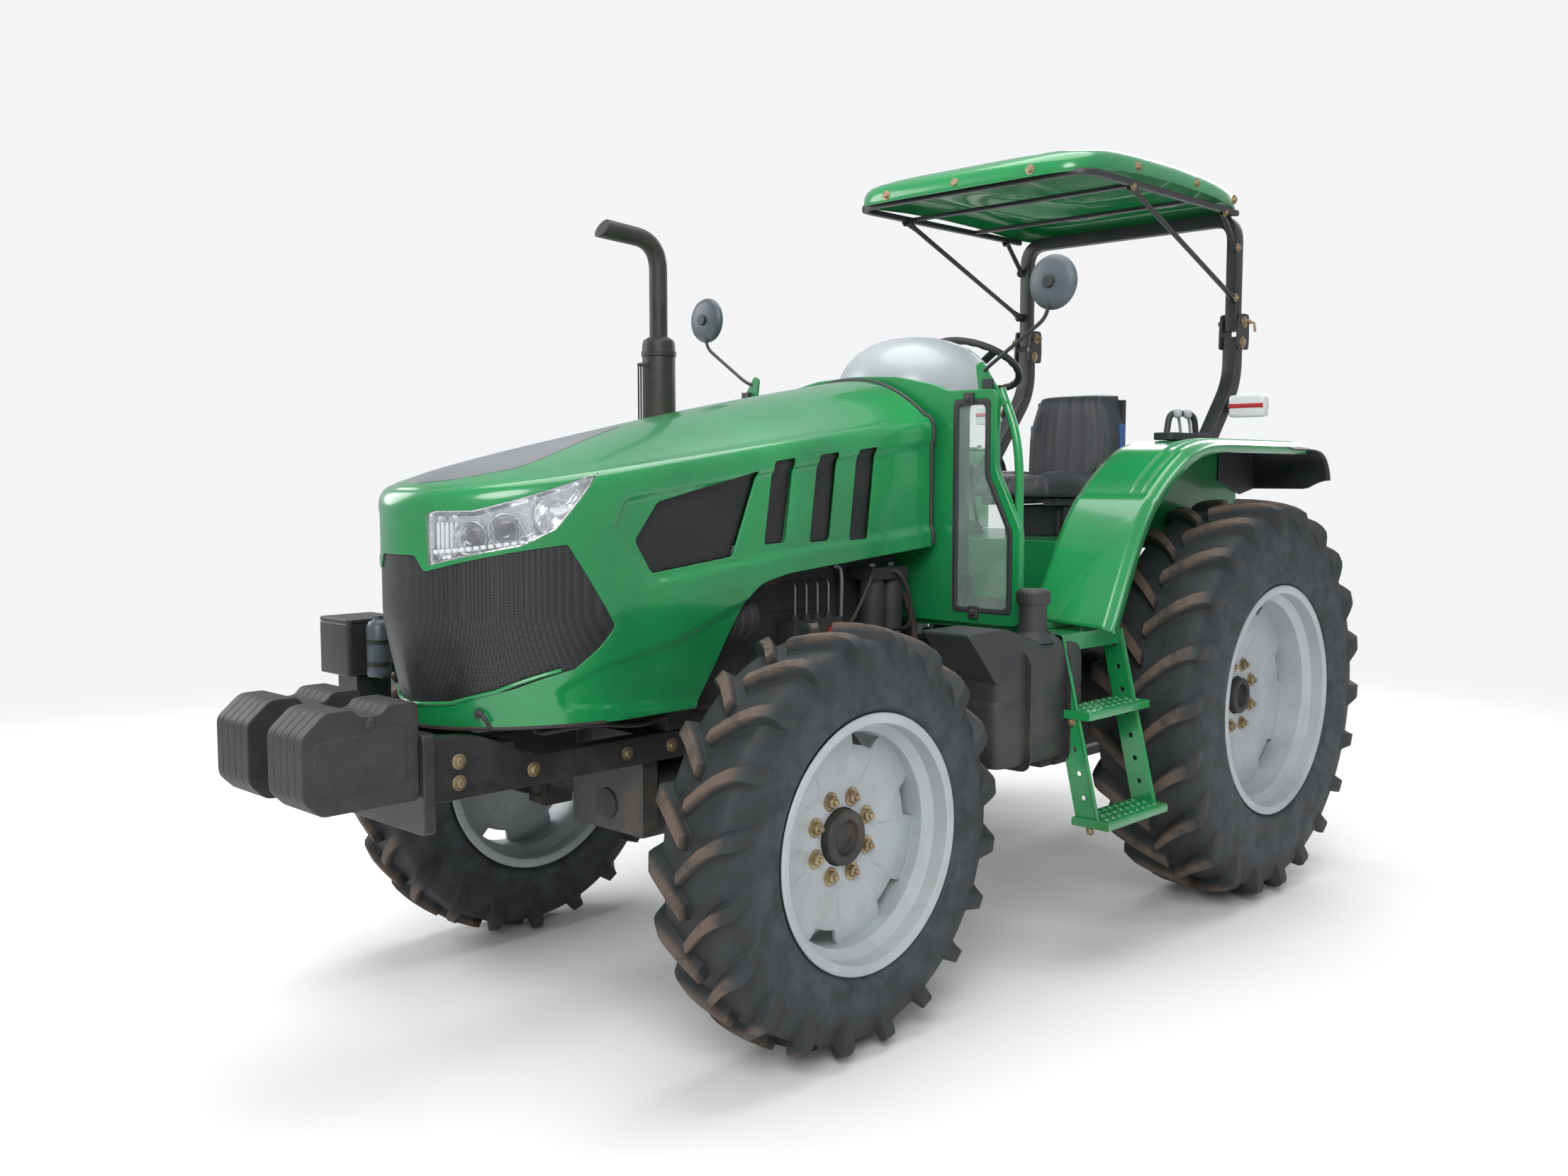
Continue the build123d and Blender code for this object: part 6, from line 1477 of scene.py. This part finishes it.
# ------------------------------------------------------------ stage
def build_stage(settings):
    """Pale floor, soft lamps, pale surroundings and the camera."""
    reach = settings.floor_reach
    u = np.linspace(-reach, reach, 25)
    y, x = np.meshgrid(u, u, indexing="ij")
    floor = Form().grid(np.stack([x, y, np.full_like(x, -0.002)], -1))
    g = Graph("pale_floor")
    place = g.object_coords()
    tone = g.mix(g.noise(place, 0.8, 3.0), (0.80, 0.80, 0.79), (0.86, 0.86, 0.85))
    diffuse = g.node("BsdfPrincipled", Base_Color=tone, Roughness=0.9)
    far = g.ramp(g.node("VectorMath", {"operation": "LENGTH"}, i0=place).outputs["Value"], 3.6, 8.5)
    seen = g.math("MULTIPLY", far, g.node("LightPath").outputs["Is Camera Ray"])
    glow = g.node("Emission", Color=(*settings.backdrop, 1.0), Strength=1.0)
    blend = g.node("MixShader", i0=seen, i1=diffuse.outputs[0], i2=glow.outputs[0])
    g.tree.links.new(blend.outputs[0], g.node("OutputMaterial").inputs["Surface"])
    obj = linked("stage_floor", floor.mesh("stage_floor"))
    obj.data.materials.append(g.material)
    lamps = (("key_lamp", (5.5, -6.5, 6.0), 5.0, 1.0), ("fill_lamp", (-6.5, -3.5, 4.5), 5.0, 0.5),
             ("top_lamp", (0.0, 0.5, 8.0), 7.0, 0.8), ("rear_lamp", (-1.5, 7.5, 4.5), 5.0, 0.45))
    for name, spot, size, share in lamps:
        data = bpy.data.lights.new(name, "AREA")
        data.shape, data.size, data.energy = "DISK", size, settings.lamp_power * share
        lamp = bpy.data.objects.new(name, data)
        lamp.location = spot
        lamp.rotation_euler = (Vector((0, 0, 1.2)) - Vector(spot)).to_track_quat("-Z", "Y").to_euler()
        bpy.context.scene.collection.objects.link(lamp)
    world = bpy.data.worlds.new("pale_room")
    bpy.context.scene.world = world
    world.use_nodes = True
    nodes, links = world.node_tree.nodes, world.node_tree.links
    nodes.clear()
    plain, seen = nodes.new("ShaderNodeBackground"), nodes.new("ShaderNodeBackground")
    plain.inputs["Color"].default_value = (0.92, 0.95, 1.0, 1)
    plain.inputs["Strength"].default_value = settings.room_level
    seen.inputs["Color"].default_value = (*settings.backdrop, 1.0)
    path, mixer = nodes.new("ShaderNodeLightPath"), nodes.new("ShaderNodeMixShader")
    out = nodes.new("ShaderNodeOutputWorld")
    links.new(path.outputs["Is Camera Ray"], mixer.inputs[0])
    links.new(plain.outputs[0], mixer.inputs[1])
    links.new(seen.outputs[0], mixer.inputs[2])
    links.new(mixer.outputs[0], out.inputs["Surface"])
    data = bpy.data.cameras.new("view_camera")
    data.sensor_width, data.lens = 36.0, CAMERA_LENS
    camera = bpy.data.objects.new("view_camera", data)
    camera.location = CAMERA_AT
    camera.rotation_euler = (math.pi / 2 - CAMERA_DIP, 0.0, CAMERA_TURN)
    bpy.context.scene.collection.objects.link(camera)
    bpy.context.scene.camera = camera
    bpy.context.scene.view_settings.view_transform = "Standard"


# ------------------------------------------------------------ settings and operators
class TractorColours(bpy.types.PropertyGroup):
    """Colour of the body paint."""
    paint: bpy.props.FloatVectorProperty(name="Body paint",
                                         description="Colour of bonnet, cowl, fenders and canopy",
                                         subtype="COLOR", size=3, min=0, max=1, default=(0.010, 0.265, 0.072))


class TractorStage(bpy.types.PropertyGroup):
    """Floor, lamps and surroundings."""
    floor_reach: bpy.props.FloatProperty(name="Floor reach", description="Half width of the floor",
                                         default=30.0,
                                         unit="LENGTH")
    lamp_power: bpy.props.FloatProperty(name="Lamp power", description="Power of the main soft lamp",
                                        default=520.0,
                                        min=0.0)
    backdrop: bpy.props.FloatVectorProperty(name="Backdrop", description="Colour behind the tractor",
                                            subtype="COLOR",
                                            size=3, min=0, max=1, default=(0.90, 0.91, 0.92))
    room_level: bpy.props.FloatProperty(name="Room level", description="Brightness of the surroundings",
                                        default=0.55,
                                        min=0.0)


MATS = {}


class GroupOperator:
    """What the operators of the pieces share: each builds its own group with the finishes"""

    def execute(self, context):
        type(self).build(MATS)
        return {"FINISHED"}


class TRACTOR_OT_finishes(bpy.types.Operator):
    """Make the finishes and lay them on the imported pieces"""
    bl_idname = "tractor.finishes"
    bl_label = "Finishes"

    def execute(self, context):
        MATS.update(make_finishes(context.scene.tractor_colours))
        for name, obj in frame["nodes"].items():
            if name in NODE_FINISH:
                for slot in obj.material_slots:
                    slot.material = MATS[NODE_FINISH[name]]
        return {"FINISHED"}


class TRACTOR_OT_wheels(GroupOperator, bpy.types.Operator):
    """Build the tyres, rims, hubs and nuts"""
    bl_idname = "tractor.wheels"
    bl_label = "Wheels"
    build = staticmethod(build_wheels)


class TRACTOR_OT_bonnet(GroupOperator, bpy.types.Operator):
    """Build the bonnet shell, grille, vents, insert and lamps"""
    bl_idname = "tractor.bonnet"
    bl_label = "Bonnet"
    build = staticmethod(build_bonnet)


class TRACTOR_OT_canopy(GroupOperator, bpy.types.Operator):
    """Build the canopy and the roll-over frame"""
    bl_idname = "tractor.canopy"
    bl_label = "Canopy"
    build = staticmethod(build_canopy)


class TRACTOR_OT_fenders(GroupOperator, bpy.types.Operator):
    """Build the fenders, inner walls and flaps"""
    bl_idname = "tractor.fenders"
    bl_label = "Fenders"
    build = staticmethod(build_fenders)


class TRACTOR_OT_cowl(GroupOperator, bpy.types.Operator):
    """Build the cowl, screens, dash, rails and mirrors"""
    bl_idname = "tractor.cowl"
    bl_label = "Cowl"
    build = staticmethod(build_cowl)


class TRACTOR_OT_steering(GroupOperator, bpy.types.Operator):
    """Build the steering wheel"""
    bl_idname = "tractor.steering"
    bl_label = "Steering wheel"
    build = staticmethod(build_wheel_and_column)


class TRACTOR_OT_seat(GroupOperator, bpy.types.Operator):
    """Build the seat pads, shell and slide frame"""
    bl_idname = "tractor.seat"
    bl_label = "Seat"
    build = staticmethod(build_seat)


class TRACTOR_OT_tank(GroupOperator, bpy.types.Operator):
    """Build the fuel tank with its neck and straps"""
    bl_idname = "tractor.tank"
    bl_label = "Tank"
    build = staticmethod(build_tank)


class TRACTOR_OT_exhaust(GroupOperator, bpy.types.Operator):
    """Build the exhaust stack and its guard"""
    bl_idname = "tractor.exhaust"
    bl_label = "Exhaust"
    build = staticmethod(build_exhaust)


class TRACTOR_OT_lamps(GroupOperator, bpy.types.Operator):
    """Build the marker lamps, consoles, levers and pedals"""
    bl_idname = "tractor.lamps"
    bl_label = "Lamps and levers"
    build = staticmethod(build_lamps_and_levers)


class TRACTOR_OT_platform(GroupOperator, bpy.types.Operator):
    """Build the floor, deck, seat stand and steps"""
    bl_idname = "tractor.platform"
    bl_label = "Platform"
    build = staticmethod(build_platform)


class TRACTOR_OT_front(GroupOperator, bpy.types.Operator):
    """Build the front frame, weights, battery box and pipes"""
    bl_idname = "tractor.front"
    bl_label = "Front end"
    build = staticmethod(build_front)


class TRACTOR_OT_engine(GroupOperator, bpy.types.Operator):
    """Build the engine block with its parts and hoses"""
    bl_idname = "tractor.engine"
    bl_label = "Engine"
    build = staticmethod(build_engine)


class TRACTOR_OT_stage(bpy.types.Operator):
    """Set the floor, lamps, surroundings and camera"""
    bl_idname = "tractor.stage"
    bl_label = "Stage"

    def execute(self, context):
        build_stage(context.scene.tractor_stage)
        return {"FINISHED"}


OPERATORS = (TRACTOR_OT_stage, TRACTOR_OT_finishes, TRACTOR_OT_wheels,
             TRACTOR_OT_bonnet, TRACTOR_OT_canopy, TRACTOR_OT_fenders, TRACTOR_OT_cowl,
             TRACTOR_OT_steering, TRACTOR_OT_seat, TRACTOR_OT_tank, TRACTOR_OT_exhaust,
             TRACTOR_OT_lamps, TRACTOR_OT_platform, TRACTOR_OT_front, TRACTOR_OT_engine)


class TRACTOR_PT_panel(bpy.types.Panel):
    """Sidebar panel with the settings and one button for each group of pieces"""
    bl_label = "Tractor"
    bl_idname = "TRACTOR_PT_panel"
    bl_space_type = "VIEW_3D"
    bl_region_type = "UI"
    bl_category = "Tractor"

    def draw(self, context):
        layout = self.layout
        for group in (context.scene.tractor_colours, context.scene.tractor_stage):
            for key in group.__annotations__:
                layout.prop(group, key)
        for operator in OPERATORS:
            layout.operator(operator.bl_idname)


CLASSES = (TractorColours, TractorStage, *OPERATORS, TRACTOR_PT_panel)


def register():
    """Register the classes and hang their settings on the scene."""
    for cls in CLASSES:
        bpy.utils.register_class(cls)
    bpy.types.Scene.tractor_colours = bpy.props.PointerProperty(type=TractorColours)
    bpy.types.Scene.tractor_stage = bpy.props.PointerProperty(type=TractorStage)


def unregister():
    """Take the settings and classes away again."""
    del bpy.types.Scene.tractor_stage
    del bpy.types.Scene.tractor_colours
    for cls in reversed(CLASSES):
        bpy.utils.unregister_class(cls)


def main():
    """Build everything in order."""
    register()
    for operator in OPERATORS:
        group, name = operator.bl_idname.split(".")
        getattr(getattr(bpy.ops, group), name)()


if __name__ == "__main__":
    main()
